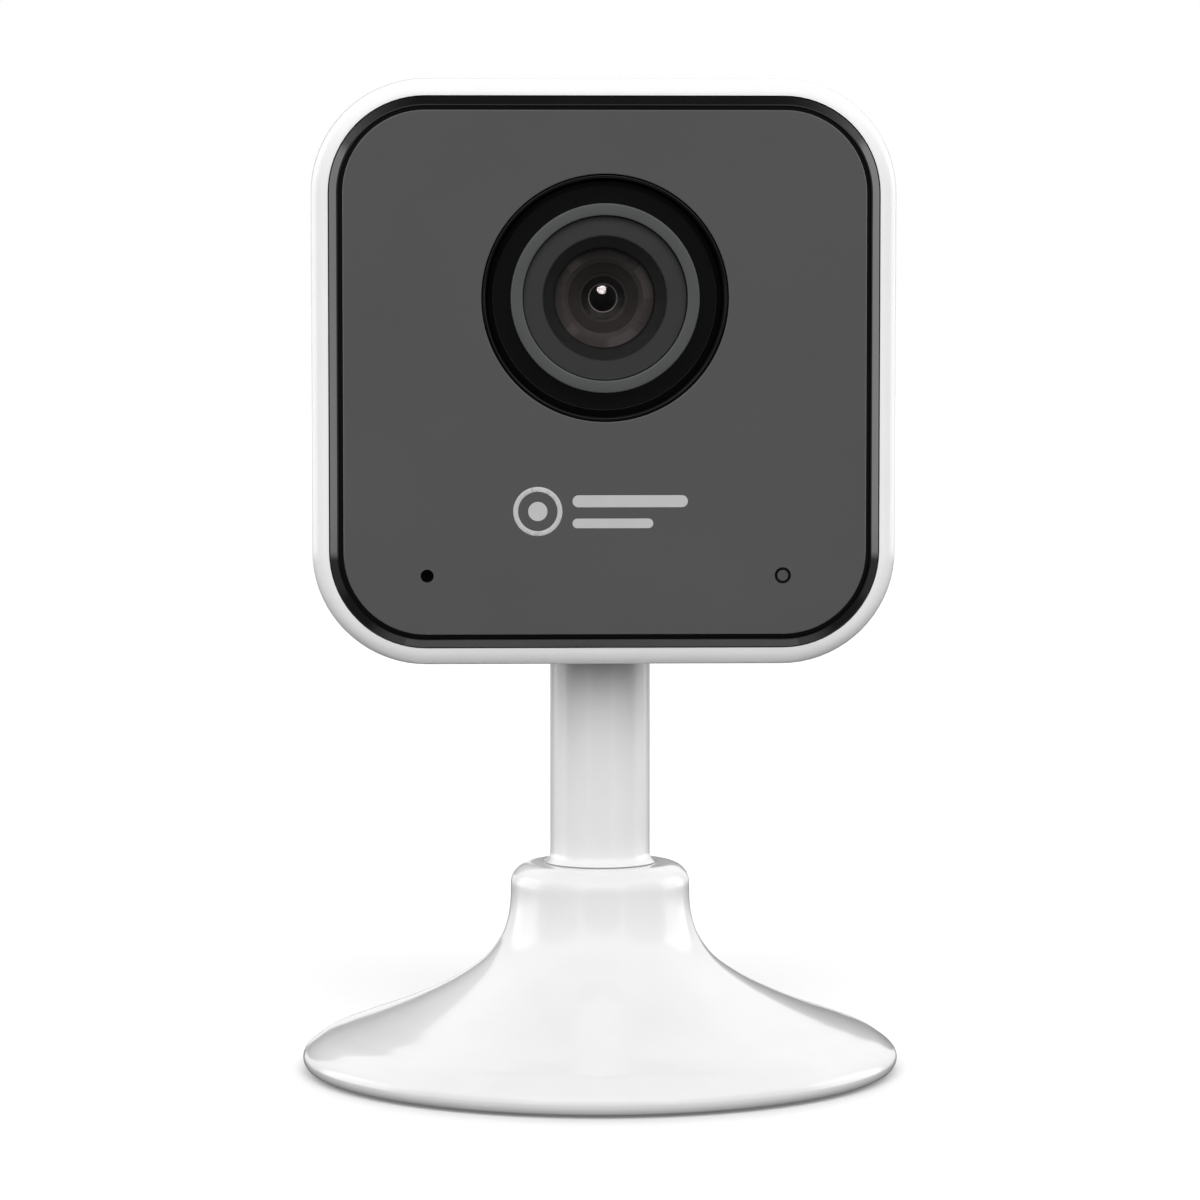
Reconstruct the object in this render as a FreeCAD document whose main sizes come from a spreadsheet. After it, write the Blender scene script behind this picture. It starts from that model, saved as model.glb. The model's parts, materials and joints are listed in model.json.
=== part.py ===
import FreeCAD, Part
import math
import os
import re

import Sketcher
from FreeCAD import Placement, Rotation, Vector

# Small square security camera on a swivelling, tilting stand. Millimetres.
# Origin: centre of the base's underside. +Z is up, the lens looks towards -Y and +X is to the
# right as seen from in front. Every driving size is one cell of the sheet "dims"; all sub-parts
# are worked out from those cells.

doc = FreeCAD.newDocument("security_camera")
sheet = doc.addObject("Spreadsheet::Sheet", "dims")

SIZES = {
    # clearances
    "running_gap": 0.05,        # radial, between a turning piece and its bore
    "face_gap": 0.05,           # between two faces that slide on each other
    "slip_gap": 0.10,           # between a piece and the pocket it drops into
    # base
    "base_radius": 32.0,
    "base_rim_height": 1.52,    # where the flare meets the upright rim
    "foot_proud": 0.3,          # the rubber foot stands this far out of the shell
    "rim_round": 1.2,
    "base_wall": 2.0,
    "collar_radius": 9.6,
    "collar_top": 22.34,
    "collar_round": 2.18,
    "collar_straight": 0.38,    # upright part of the collar's side
    "collar_wall": 1.4,
    "collar_roof": 2.84,        # thickness of the collar's top
    "rim_land": 2.8,            # width of the shell's rim outside the base plate
    "plate_thickness": 1.2,
    "plate_ledge": 1.2,
    "foot_thickness": 0.9,
    "foot_edge": 0.6,           # margin between the foot's and the plate's outer edges
    "foot_clear": 1.0,          # between the screw heads and the foot
    "label_clear": 2.1,         # between the screw heads and the label
    "label_thickness": 0.1,
    "weight_clear": 0.4,        # between the screw bosses and the weight
    "weight_thickness": 3.0,
    "magnet_radius": 6.2,
    "magnet_clear": 0.8,
    "magnet_thickness": 2.4,
    "base_screw_margin": 11.7,  # from the rim in to the circle of the screws
    "base_boss_radius": 2.4,
    "base_screw_head": 1.7,
    "base_screw_shank": 0.9,
    "base_screw_length": 4.0,
    "base_screw_sink": 0.72,    # depth of the heads' seats in the plate
    "base_screw_turn": 90.0,    # direction of the first of three screws
    # stalk and swivel
    "stalk_radius": 5.34,
    "stalk_flare_width": 0.67,
    "stalk_flare_height": 0.58,
    "spigot_radius": 3.6,
    "spigot_tail": 2.65,        # length of the spigot below its ring
    "spigot_lead": 0.4,
    "groove_depth": 0.7,
    "ring_thickness": 0.8,
    "ring_width": 3.3,
    "washer_thickness": 1.4,
    "washer_width": 3.2,
    # tilt hinge
    "hinge_rise": 11.25,        # the hinge lies this far above the head's underside
    "tilt_down": 15.0,          # degrees the head can nod forward
    "knuckle_relief": 0.04,
    "knuckle_reach": 0.3,       # the stalk's flats run this far below the knuckle's round
    "pin_radius": 1.5,
    "slot_gap": 0.41,           # between the stalk and the head's slot
    "slot_wall": 1.2,
    "roof_gap": 0.66,
    "friction_thickness": 1.0,
    "friction_margin": 0.7,
    "side_plate_half": 5.0,
    "side_plate": 1.2,
    "pin_head_radius": 2.8,
    "pin_head_length": 1.6,
    "pin_end": 0.3,             # the pin stands this far out of its nut
    "spring_thickness": 0.8,
    "nut_thickness": 2.0,
    "nut_radius": 3.0,
    # head
    "head_size": 61.0,
    "head_bottom": 44.75,
    "head_corner": 11.9,
    "head_back": 13.5,
    "head_rim": 14.0,           # the shell's front edge lies this far in front of the stalk's axis
    "back_round": 9.5,
    "rim_fall": 1.85,           # rounding of the shell's front edge
    "head_wall": 1.8,
    # front frame and face
    "face_proud": 1.5,          # the face stands this far in front of the shell's edge
    "face_thickness": 1.3,
    "face_edge": 1.45,          # the face is this much smaller than the frame, all round
    "face_gap_width": 0.45,     # dark line round the face
    "frame_proud": 1.2,
    "frame_clear": 0.85,        # between the frame and the wall of the stalk's slot
    "frame_bevel_width": 1.05,
    "floor_thickness": 1.2,
    "frame_wall": 1.6,
    # screws that hold the front frame
    "upper_screw_margin": 9.0,  # from the head's sides and top
    "lower_screw_margin": 6.5,  # from the head's sides
    "lower_screw_clear": 1.0,   # between the lower screw bosses and the main board
    "boss_radius": 2.5,
    "boss_setback": 0.5,
    "boss_root": 3.0,
    "screw_head_radius": 1.8,
    "screw_head_length": 1.3,
    "screw_shank": 0.95,
    "screw_length": 7.6,
    "drive_share": 2.6,         # a screw head's radius over its drive recess's
    # lens
    "lens_rise": 7.75,          # lens axis above the head's centre
    "recess_radius": 12.83,
    "recess_depth": 2.2,
    "recess_slant": 0.5,
    "surround_flange_width": 1.37,
    "surround_flange": 0.6,
    "bezel_radius": 9.8,
    "bezel_width": 1.25,
    "bezel_proud": 0.2,
    "bezel_edge": 0.18,
    "cover_sink": 0.4,
    "cover_thickness": 0.6,
    "hood_mouth": 6.4,
    "hood_throat": 5.3,
    "hood_depth": 1.8,
    "barrel_wall": 1.35,        # round the front lens
    "barrel_land": 0.2,         # from the spacer's back to the barrel's shoulder
    "thread_wall": 1.5,         # round the aperture stop
    "thread_length": 3.4,
    "front_lens_radius": 5.6,
    "front_lens_curve": 22.5,
    "front_lens_edge": 1.65,    # thickness of the lens at its edge
    "front_lens_lap": 0.2,
    "retainer_width": 0.44,
    "spacer_opening": 3.7,
    "spacer_thickness": 0.8,
    "stop_radius": 4.4,
    "stop_opening": 1.53,
    "stop_depth": 1.6,
    "stop_thickness": 0.3,      # round the opening
    "funnel_lip": 0.65,         # width of the stop's front edge
    "funnel_step": 1.07,        # the stop's steeper outer cone is this much wider than the opening
    "funnel_turn": 0.85,        # depth of the outer cone
    "funnel_ledge": 0.22,       # flat ring round the opening
    "rear_lens_radius": 3.65,
    "rear_lens_curve": 7.0,
    "rear_lens_thickness": 1.6,
    "holder_gap": 0.2,
    "holder_wall": 1.8,
    "holder_room_gap": 0.25,
    "holder_ear": 3.6,
    "holder_ear_half": 2.4,
    "holder_screw_head": 1.6,
    "holder_screw_length": 3.6,
    "filter_gap": 0.3,
    "filter_thickness": 0.5,
    # electronics
    "sensor_room": 2.4,         # from the lens holder's roof to the board
    "board_thickness": 1.0,
    "board_margin": 4.5,
    "board_clear": 0.7,         # between the board and the upper screw bosses
    "board_top_margin": 5.0,
    "board_foot_gap": 2.8,      # above the roof of the stalk's slot
    "post_inset": 2.0,
    "post_rise": 2.5,
    "post_drop": 2.75,
    "post_radius": 2.0,
    "board_screw_head": 1.7,
    "board_screw_length": 4.5,
    "small_head": 1.0,          # head height of the board's and the lens holder's screws
    "sensor_half": 5.0,
    "sensor_thickness": 1.0,
    "chip_half": 7.0,
    "chip_thickness": 1.2,
    "pad_thickness": 1.0,
    "heat_half": 13.8,
    "heat_reach": 13.0,         # above the lens axis
    "heat_clear": 0.8,          # between the plate and the header below it
    "heat_thickness": 1.2,
    "memory_x": 13.5,
    "memory_half": 3.0,
    "memory_rise": 7.95,        # above the board's lower edge
    "radio_gap": 0.8,
    "radio_half": 4.4,
    "radio_rise": 7.25,         # above the lens axis
    "radio_thickness": 1.8,
    "antenna_half": 14.0,
    "antenna_front": 6.0,
    "antenna_width": 8.0,
    "antenna_thickness": 0.4,
    "card_margin": 2.5,
    "card_length": 14.0,
    "card_half": 7.0,
    "card_thickness": 1.8,
    "card_rise": 4.0,
    "card_slot_half": 6.0,
    "card_slot_height": 1.2,
    "card_stop": 1.0,
    "power_depth": 6.5,         # from the shell's back wall to the power board's front
    "power_board_half": 13.4,
    "power_board_height": 11.0,
    "usb_rise": 4.75,           # above the board's lower edge
    "usb_half": 3.9,
    "usb_height": 3.0,
    "usb_inset": 0.7,
    "usb_wall": 0.35,
    "usb_floor": 1.0,
    "usb_tongue": 0.7,
    "usb_tongue_margin": 1.2,
    "usb_border": 1.8,          # recess in the shell round the socket
    "header_x": 8.0,
    "header_half": 3.5,
    "header_rise": 0.6,
    "header_height": 2.6,
    "button_x": 9.8,
    "button_radius": 1.6,
    "button_collar": 2.3,
    "button_collar_thickness": 0.8,
    "button_sink": 0.35,        # the button lies this far below the shell's back
    "button_travel": 0.35,
    "switch_half": 2.3,
    "switch_thickness": 2.4,
    "switch_plunger": 0.5,
    "switch_plunger_radius": 1.0,
    # speaker
    "speaker_rise": 10.0,
    "speaker_radius": 10.0,
    "speaker_depth": 3.4,
    "speaker_wall": 0.8,
    "speaker_magnet": 5.4,
    "speaker_magnet_depth": 2.6,
    "cone_thickness": 0.4,
    "cone_rise": 0.5,
    "cone_margin": 0.8,
    "grille_hole": 0.55,
    "grille_pitch": 2.3,
    "grille_rings": 3,
    # infrared lamps behind the face
    "lamp_board_thickness": 0.8,
    "lamp_board_gap": 1.0,
    "lamp_board_margin": 4.0,
    "lamp_x": 15.0,
    "lamp_rise": 12.0,          # above and below the lens axis
    "lamp_radius": 1.5,
    "lamp_gap": 0.3,
    "lamp_hole_gap": 0.3,
    # microphone and status light
    "port_margin": 12.0,        # from the head's sides
    "port_rise": 9.45,          # above the head's underside
    "mic_hole": 0.68,
    "mic_radius": 2.0,
    "mic_seat": 0.6,
    "boot_radius": 2.8,
    "boot_depth": 1.8,
    "port_board_half": 4.6,
    "port_board_trim": 1.0,
    "port_board_thickness": 0.8,
    "light_hole": 0.85,
    "light_pipe": 0.56,
    "pipe_sink": 0.05,
    "pipe_collar": 1.5,
    "pipe_collar_thickness": 0.6,
    "light_thickness": 0.7,
}

# Outline of the base between the rim and the collar, as shares of the distance out from the
# collar and up from the rim. The curve is upright at both ends, where it pulls this hard.
TOP_PULL, RIM_PULL = 12, 6
FLARE = [(0.027, 0.754), (0.107, 0.596), (0.241, 0.470), (0.420, 0.355),
         (0.6205, 0.2525), (0.799, 0.174), (0.924, 0.1057)]

# Base: circle of the screws, collar, swivel
SCREW_CIRCLE = "(base_radius - base_screw_margin)"
PLATE_LOW = "foot_thickness"
PLATE_TOP = "(foot_thickness + plate_thickness)"
COLLAR_FOOT = "(collar_top - collar_round - collar_straight)"
COLLAR_ROOF = "(collar_top - collar_roof)"
RING_TOP = f"({COLLAR_ROOF} - face_gap - washer_thickness)"
RING_LOW = f"({RING_TOP} - ring_thickness)"

# Tilt hinge and the slot that the stalk folds into
HINGE_Z = "(head_bottom + hinge_rise)"
KNUCKLE_RADIUS = "(stalk_radius - knuckle_relief)"
SLOT_HALF = "(stalk_radius + slot_gap)"
KNUCKLE_HALF = f"({SLOT_HALF} - friction_thickness - face_gap)"
SLOT_FRONT = "(-hinge_rise * tan(tilt_down) - stalk_radius / cos(tilt_down) - slot_gap)"
SLOT_ROOF = f"({HINGE_Z} + stalk_radius + roof_gap)"

# Head, from the shell's front edge back. Depths grow towards +Y.
HEAD_MID = "(head_bottom + head_size / 2)"
CAVITY_BACK = "(head_back - head_wall)"
THROUGH_BACK = (f"{CAVITY_BACK} - 1", "head_back + 1")
FACE_FRONT = "(-head_rim - face_proud)"
FLOOR_FRONT = f"({FACE_FRONT} + face_thickness)"
FLOOR_BACK = f"({FLOOR_FRONT} + floor_thickness)"
FRAME_FRONT = "(-head_rim - frame_proud)"
FRAME_BACK = f"({SLOT_FRONT} - slot_wall - frame_clear)"
FRAME_SIZE = "(head_size - 2 * head_wall - 2 * slip_gap)"
FRAME_CORNER = "(head_corner - head_wall - slip_gap)"
FACE_SIZE = f"({FRAME_SIZE} - 2 * face_edge)"
FACE_CORNER = f"({FRAME_CORNER} - face_edge)"
BOSS_FRONT = f"({FRAME_BACK} + boss_setback)"
BOSS_BACK = "(head_back - boss_root)"
UPPER_SCREW = "(head_size / 2 - upper_screw_margin)"
LOWER_SCREW_X = "(head_size / 2 - lower_screw_margin)"

# Lens, from its bezel back to the board
LENS_Z = f"({HEAD_MID} + lens_rise)"
RECESS_FLOOR = f"({FACE_FRONT} + recess_depth)"
SURROUND_BACK = f"({FLOOR_BACK} + surround_flange)"
BEZEL_FRONT = f"({FACE_FRONT} - bezel_proud)"
BEZEL_INNER = "(bezel_radius - bezel_width)"
COVER_FRONT = f"({BEZEL_FRONT} + cover_sink)"
COVER_BACK = f"({COVER_FRONT} + cover_thickness)"
COVER_RADIUS = f"({BEZEL_INNER} - running_gap)"
HOOD_BACK = f"({COVER_BACK} + hood_depth)"
BARREL_FRONT = f"({HOOD_BACK} + face_gap)"
LENS_OPENING = "(front_lens_radius - retainer_width)"
LENS_RISE = f"(front_lens_curve - sqrt(front_lens_curve ^ 2 - {LENS_OPENING} ^ 2))"
RETAINER_BACK = f"({BARREL_FRONT} + {LENS_RISE})"
FRONT_LENS_BACK = f"({RETAINER_BACK} + front_lens_edge)"
SPACER_BACK = f"({FRONT_LENS_BACK} + spacer_thickness)"
STOP_BACK = f"({SPACER_BACK} + stop_depth)"
BARREL_HEAD = "(front_lens_radius + running_gap + barrel_wall)"
BARREL_SHOULDER = f"({SPACER_BACK} + barrel_land)"
BARREL_END = f"({BARREL_SHOULDER} + thread_length)"
THREAD_RADIUS = "(stop_radius + running_gap + thread_wall)"
HOLDER_FRONT = f"({BARREL_SHOULDER} + holder_gap)"
HOLDER_ROOF = f"({BARREL_END} + holder_gap)"
HOLDER_ROOM = f"({THREAD_RADIUS} + holder_room_gap)"
HOLDER_HALF = f"({HOLDER_ROOM} + holder_wall)"
EAR_END = f"({HOLDER_HALF} + holder_ear)"
FILTER_HALF = f"({HOLDER_ROOM} - filter_gap)"

# Electronics
BOARD_FRONT = f"({HOLDER_ROOF} + sensor_room)"
BOARD_BACK = f"({BOARD_FRONT} + board_thickness)"
BOARD_LOW = f"({SLOT_ROOF} + slot_wall + board_foot_gap)"
BOARD_TOP = "(head_bottom + head_size - board_top_margin)"
BOARD_SHOULDER = f"({HEAD_MID} + {UPPER_SCREW} - boss_radius - board_clear)"
BOARD_NECK = f"({UPPER_SCREW} - boss_radius - board_clear)"
HEADER_LOW = f"({BOARD_LOW} + header_rise)"
USB_Z = f"({BOARD_LOW} + usb_rise)"
USB_MOUTH = "(head_back - usb_inset)"
POWER_FRONT = f"({CAVITY_BACK} - power_depth)"
POWER_BACK = f"({POWER_FRONT} + board_thickness)"
CARD_MIDDLE = f"({BOARD_BACK} + card_thickness / 2)"
CARD_Z = f"({HEAD_MID} + card_rise)"
RADIO_X = f"({HOLDER_HALF} + radio_gap + radio_half)"
SPEAKER_Z = f"({HEAD_MID} + speaker_rise)"
PORT_X = "(head_size / 2 - port_margin)"
PORT_Z = "(head_bottom + port_rise)"
PORT_BOARD_FRONT = f"({FLOOR_BACK} + boot_depth)"

for row, (alias, value) in enumerate(SIZES.items(), start=1):
    sheet.set(f"A{row}", alias)
    sheet.set(f"B{row}", str(value))
    sheet.setAlias(f"B{row}", alias)
doc.recompute()

nodes = {}


# ---------------------------------------------------------------- helpers

def formula(text):
    """Write a size expression so that FreeCAD finds its names in the sheet."""
    def in_sheet(match):
        word = match.group(0)
        return f"dims.{word}" if word in SIZES else word
    return re.sub(r"[A-Za-z_]\w*", in_sheet, str(text))


def number(text):
    return float(sheet.evalExpression(formula(text)))


def bind(item, prop, text):
    item.setExpression(prop, formula(text))


def keep(label, item):
    """Hand a finished object in as the sub-part called label."""
    item.Label = label
    nodes[label] = item
    return item


def box(name, x_span, y_span, z_span):
    item = doc.addObject("Part::Box", name)
    for prop, axis, (low, high) in zip(("Length", "Width", "Height"), "xyz", (x_span, y_span, z_span)):
        bind(item, prop, f"({high}) - ({low})")
        bind(item, f"Placement.Base.{axis}", low)
    return item


def rod(name, axis, centre, span, radius):
    """Cylinder along one axis. centre holds the other two coordinates, in x, y, z order."""
    item = doc.addObject("Part::Cylinder", name)
    turn = {"x": Rotation(Vector(0, 1, 0), 90), "y": Rotation(Vector(1, 0, 0), -90), "z": Rotation()}
    item.Placement = Placement(Vector(), turn[axis])
    others = [letter for letter in "xyz" if letter != axis]
    bind(item, "Radius", radius)
    bind(item, "Height", f"({span[1]}) - ({span[0]})")
    bind(item, f"Placement.Base.{axis}", span[0])
    for letter, value in zip(others, centre):
        bind(item, f"Placement.Base.{letter}", value)
    return item


def ball(name, centre, radius):
    item = doc.addObject("Part::Sphere", name)
    bind(item, "Radius", radius)
    for letter, value in zip("xyz", centre):
        bind(item, f"Placement.Base.{letter}", value)
    return item


def fuse(name, *items):
    item = doc.addObject("Part::MultiFuse", name)
    item.Shapes = list(items)
    return item


def common(name, *items):
    item = doc.addObject("Part::MultiCommon", name)
    item.Shapes = list(items)
    return item


def group(name, *items):
    item = doc.addObject("Part::Compound", name)
    item.Links = list(items)
    return item


def cut(name, base, *tools):
    item = doc.addObject("Part::Cut", name)
    item.Base = base
    item.Tool = tools[0] if len(tools) == 1 else group(f"{name}_tools", *tools)
    return item


def tube(name, axis, centre, span, outer, inner):
    bore_span = (f"({span[0]}) - 1", f"({span[1]}) + 1")
    return cut(name, rod(f"{name}_outside", axis, centre, span, outer),
               rod(f"{name}_bore", axis, centre, bore_span, inner))


def sketch_on(body, role, name):
    plane = [item for item in body.Origin.OriginFeatures if item.Role == role][0]
    sketch = body.newObject("Sketcher::SketchObject", name)
    sketch.AttachmentSupport = [(plane, "")]
    sketch.MapMode = "FlatFace"
    return sketch


def outline(sketch, points):
    """Closed outline of straight lines; each corner's two distances are bound to the sheet."""
    corners = [Vector(number(u), number(v), 0) for u, v in points]
    count = len(corners)
    for index in range(count):
        sketch.addGeometry(Part.LineSegment(corners[index], corners[(index + 1) % count]))
    for index in range(count):
        sketch.addConstraint(Sketcher.Constraint("Coincident", index, 2, (index + 1) % count, 1))
    for index, (u, v) in enumerate(points):
        for kind, text in (("DistanceX", u), ("DistanceY", v)):
            place = sketch.addConstraint(Sketcher.Constraint(kind, -1, 1, index, 1, number(text)))
            sketch.setExpression(f"Constraints[{place}]", formula(text))


def turned(name, axis, height, points):
    """Turned piece about the vertical axis, or about a line along Y at the given height."""
    body = doc.addObject("PartDesign::Body", name)
    sketch = sketch_on(body, "XZ_Plane" if axis == "z" else "XY_Plane", f"{name}_profile")
    outline(sketch, points)
    turn = body.newObject("PartDesign::Revolution", f"{name}_turn")
    turn.Profile = sketch
    turn.ReferenceAxis = (sketch, ["V_Axis"])
    turn.Angle = 360
    body.Tip = turn
    if axis == "y":
        bind(body, "Placement.Base.z", height)
    return body


def edges_where(shape, test):
    return [f"Edge{index}" for index, edge in enumerate(shape.Edges, start=1) if test(edge)]


def slab(name, size, corner, y_span, back_round=None, front_round=None, front_bevel=None):
    """Square plate with rounded corners, centred on the head, between two depths."""
    body = doc.addObject("PartDesign::Body", name)
    bind(body, "Placement.Base.z", HEAD_MID)
    sketch = sketch_on(body, "XZ_Plane", f"{name}_square")
    half = f"({size}) / 2"
    outline(sketch, [(f"-{half}", f"-{half}"), (half, f"-{half}"), (half, half), (f"-{half}", half)])
    bind(sketch, "AttachmentOffset.Base.z", f"-({y_span[0]})")
    pad = body.newObject("PartDesign::Pad", f"{name}_pad")
    pad.Profile = sketch
    pad.Reversed = True
    bind(pad, "Length", f"({y_span[1]}) - ({y_span[0]})")
    doc.recompute()

    def dressed(kind, suffix, base, names, **sizes):
        feature = body.newObject(kind, f"{name}_{suffix}")
        feature.Base = (base, names)
        for prop, text in sizes.items():
            if prop == "ChamferType":
                feature.ChamferType = text
            else:
                bind(feature, prop, text)
        body.Tip = feature
        doc.recompute()
        return feature

    def loop_at(depth):
        return lambda edge: edge.BoundBox.YLength < 1e-6 and abs(edge.BoundBox.YMin - depth) < 1e-6

    last = dressed("PartDesign::Fillet", "corners", pad,
                   edges_where(pad.Shape, lambda edge: edge.BoundBox.YLength > 1e-3), Radius=corner)
    front, back = number(y_span[0]), number(y_span[1])
    if back_round:
        last = dressed("PartDesign::Fillet", "back", last,
                       edges_where(last.Shape, loop_at(back)), Radius=back_round)
    if front_round:
        last = dressed("PartDesign::Fillet", "front", last,
                       edges_where(last.Shape, loop_at(front)), Radius=front_round)
    if front_bevel:
        last = dressed("PartDesign::Chamfer", "bevel", last, edges_where(last.Shape, loop_at(front)),
                       ChamferType="Two distances", Size=front_bevel[0], Size2=front_bevel[1])
    return body


def screw(name, axis, centre, head_at, into, head_radius, head_length, shank_radius, length):
    """Pan-head screw; into is +1 or -1, the way its shank points along the axis."""
    def along(start, end):
        low, high = (start, end) if into > 0 else (f"-({end})", f"-({start})")
        return f"({head_at}) + ({low})", f"({head_at}) + ({high})"
    head = rod(f"{name}_head", axis, centre, along(0, head_length), head_radius)
    shank = rod(f"{name}_shank", axis, centre, along(head_length, length), shank_radius)
    recess = rod(f"{name}_recess", axis, centre, along(-1, f"({head_length}) / 2"),
                 f"({head_radius}) / drive_share")
    return cut(name, fuse(f"{name}_blank", head, shank), recess)


# ---------------------------------------------------------------- base

def flare_points():
    """Outline of the base from the collar down to the rim, in millimetres."""
    out, rise = number("base_radius - collar_radius"), number(f"{COLLAR_FOOT} - base_rim_height")
    start, low = number("collar_radius"), number("base_rim_height")
    return [Vector(start + share_out * out, 0, low + share_up * rise) for share_out, share_up in FLARE]


def arc_between(start, bulge, end):
    return Part.Arc(start, bulge, end).toShape()


def base_outside():
    """Solid of the base's outer form, turned from its outline."""
    size = {name: number(name) for name in SIZES}
    top, collar = size["collar_top"], size["collar_radius"]
    edge, foot = size["collar_round"], size["foot_proud"]
    rim, small = size["base_radius"], size["rim_round"]
    bend = math.sqrt(0.5)
    centre = Vector(0, 0, foot)
    crown = Vector(0, 0, top)
    shoulder = Vector(collar - edge, 0, top)
    side = Vector(collar, 0, top - edge)
    middle = Vector(collar - edge + edge * bend, 0, top - edge + edge * bend)
    collar_foot = Vector(collar, 0, number(COLLAR_FOOT))
    rim_top = Vector(rim, 0, size["base_rim_height"])
    rim_low = Vector(rim, 0, foot + small)
    rim_mid = Vector(rim - small + small * bend, 0, foot + small - small * bend)
    rim_end = Vector(rim - small, 0, foot)
    flare = Part.BSplineCurve()
    down = Vector(0, 0, -1)
    flare.interpolate(Points=[collar_foot] + flare_points() + [rim_top],
                      InitialTangent=down * TOP_PULL, FinalTangent=down * RIM_PULL)
    edges = [Part.makeLine(centre, crown), Part.makeLine(crown, shoulder),
             arc_between(shoulder, middle, side), Part.makeLine(side, collar_foot), flare.toShape()]
    if rim_top.z - rim_low.z > 1e-6:
        edges.append(Part.makeLine(rim_top, rim_low))
    edges += [arc_between(rim_low, rim_mid, rim_end), Part.makeLine(rim_end, centre)]
    face = Part.Face(Part.Wire(Part.__sortEdges__(edges)))
    return face.revolve(Vector(), Vector(0, 0, 1), 360)


def base_inside():
    """Hollow of the base: seat of the plate, underside of the flare, well of the collar."""
    size = {name: number(name) for name in SIZES}
    seat = size["base_radius"] - size["rim_land"]
    seat_top = number(PLATE_TOP)
    wall, bore = size["base_wall"], size["collar_radius"] - size["collar_wall"]
    under = [Vector(point.x, 0, point.z - wall) for point in flare_points() if point.x > bore + wall
             and point.z - wall > seat_top]
    roof = number(COLLAR_ROOF)
    points = [Vector(0, 0, -1), Vector(seat, 0, -1), Vector(seat, 0, seat_top),
              Vector(seat - size["plate_ledge"], 0, seat_top)]
    points += under[::-1]
    points += [Vector(bore, 0, under[0].z + wall), Vector(bore, 0, roof), Vector(0, 0, roof),
               Vector(0, 0, -1)]
    return Part.Face(Part.makePolygon(points)).revolve(Vector(), Vector(0, 0, 1), 360)


def base_screw_places():
    for index in range(3):
        turn = f"base_screw_turn + {index} * 120"
        yield (f"{SCREW_CIRCLE} * cos({turn})", f"{SCREW_CIRCLE} * sin({turn})")


def build_base():
    outside = doc.addObject("Part::Feature", "base_outside")
    outside.Shape = base_outside()
    inside = doc.addObject("Part::Feature", "base_inside")
    inside.Shape = base_inside()
    bosses, holes, seats, screws = [], [], [], []
    for index, centre in enumerate(base_screw_places(), start=1):
        bosses.append(rod(f"base_boss_{index}", "z", centre, (PLATE_TOP, COLLAR_FOOT), "base_boss_radius"))
        holes.append(rod(f"base_hole_{index}", "z", centre, ("0", f"{PLATE_TOP} + base_screw_length"),
                         "base_screw_shank + running_gap"))
        seats.append(rod(f"base_seat_{index}", "z", centre, ("0", f"{PLATE_LOW} + base_screw_sink"),
                         "base_screw_head + slip_gap"))
        screws.append(screw(f"base_screw_{index}", "z", centre, f"{PLATE_LOW} + face_gap", 1,
                            "base_screw_head", "base_screw_sink - face_gap", "base_screw_shank",
                            "base_screw_length"))
    boss_stock = common("base_boss_stock", outside, group("base_bosses", *bosses))
    shell = fuse("base_shell_blank", cut("base_shell_hollow", outside, inside), boss_stock)
    bore = rod("base_swivel_bore", "z", ("0", "0"), (f"{COLLAR_ROOF} - 1", "collar_top + 1"),
               "spigot_radius + running_gap")
    keep("base_shell", cut("base_shell", shell, bore, *holes))
    plate = rod("base_plate_disc", "z", ("0", "0"), (PLATE_LOW, PLATE_TOP),
                "base_radius - rim_land - slip_gap")
    keep("base_plate", cut("base_plate", plate, *holes, *seats))
    keep("base_screws", group("base_screws", *screws))
    keep("foot_pad", tube("foot_pad", "z", ("0", "0"), ("0", PLATE_LOW),
                          "base_radius - rim_land - foot_edge",
                          f"{SCREW_CIRCLE} + base_screw_head + foot_clear"))
    keep("rating_label", rod("rating_label", "z", ("0", "0"),
                             (f"{PLATE_LOW} - label_thickness", PLATE_LOW),
                             f"{SCREW_CIRCLE} - base_screw_head - label_clear"))
    keep("base_weight", tube("base_weight", "z", ("0", "0"), (PLATE_TOP, f"{PLATE_TOP} + weight_thickness"),
                             f"{SCREW_CIRCLE} - base_boss_radius - weight_clear",
                             "magnet_radius + magnet_clear"))
    keep("base_magnet", rod("base_magnet", "z", ("0", "0"), (PLATE_TOP, f"{PLATE_TOP} + magnet_thickness"),
                            "magnet_radius"))


# ---------------------------------------------------------------- stalk

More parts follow.
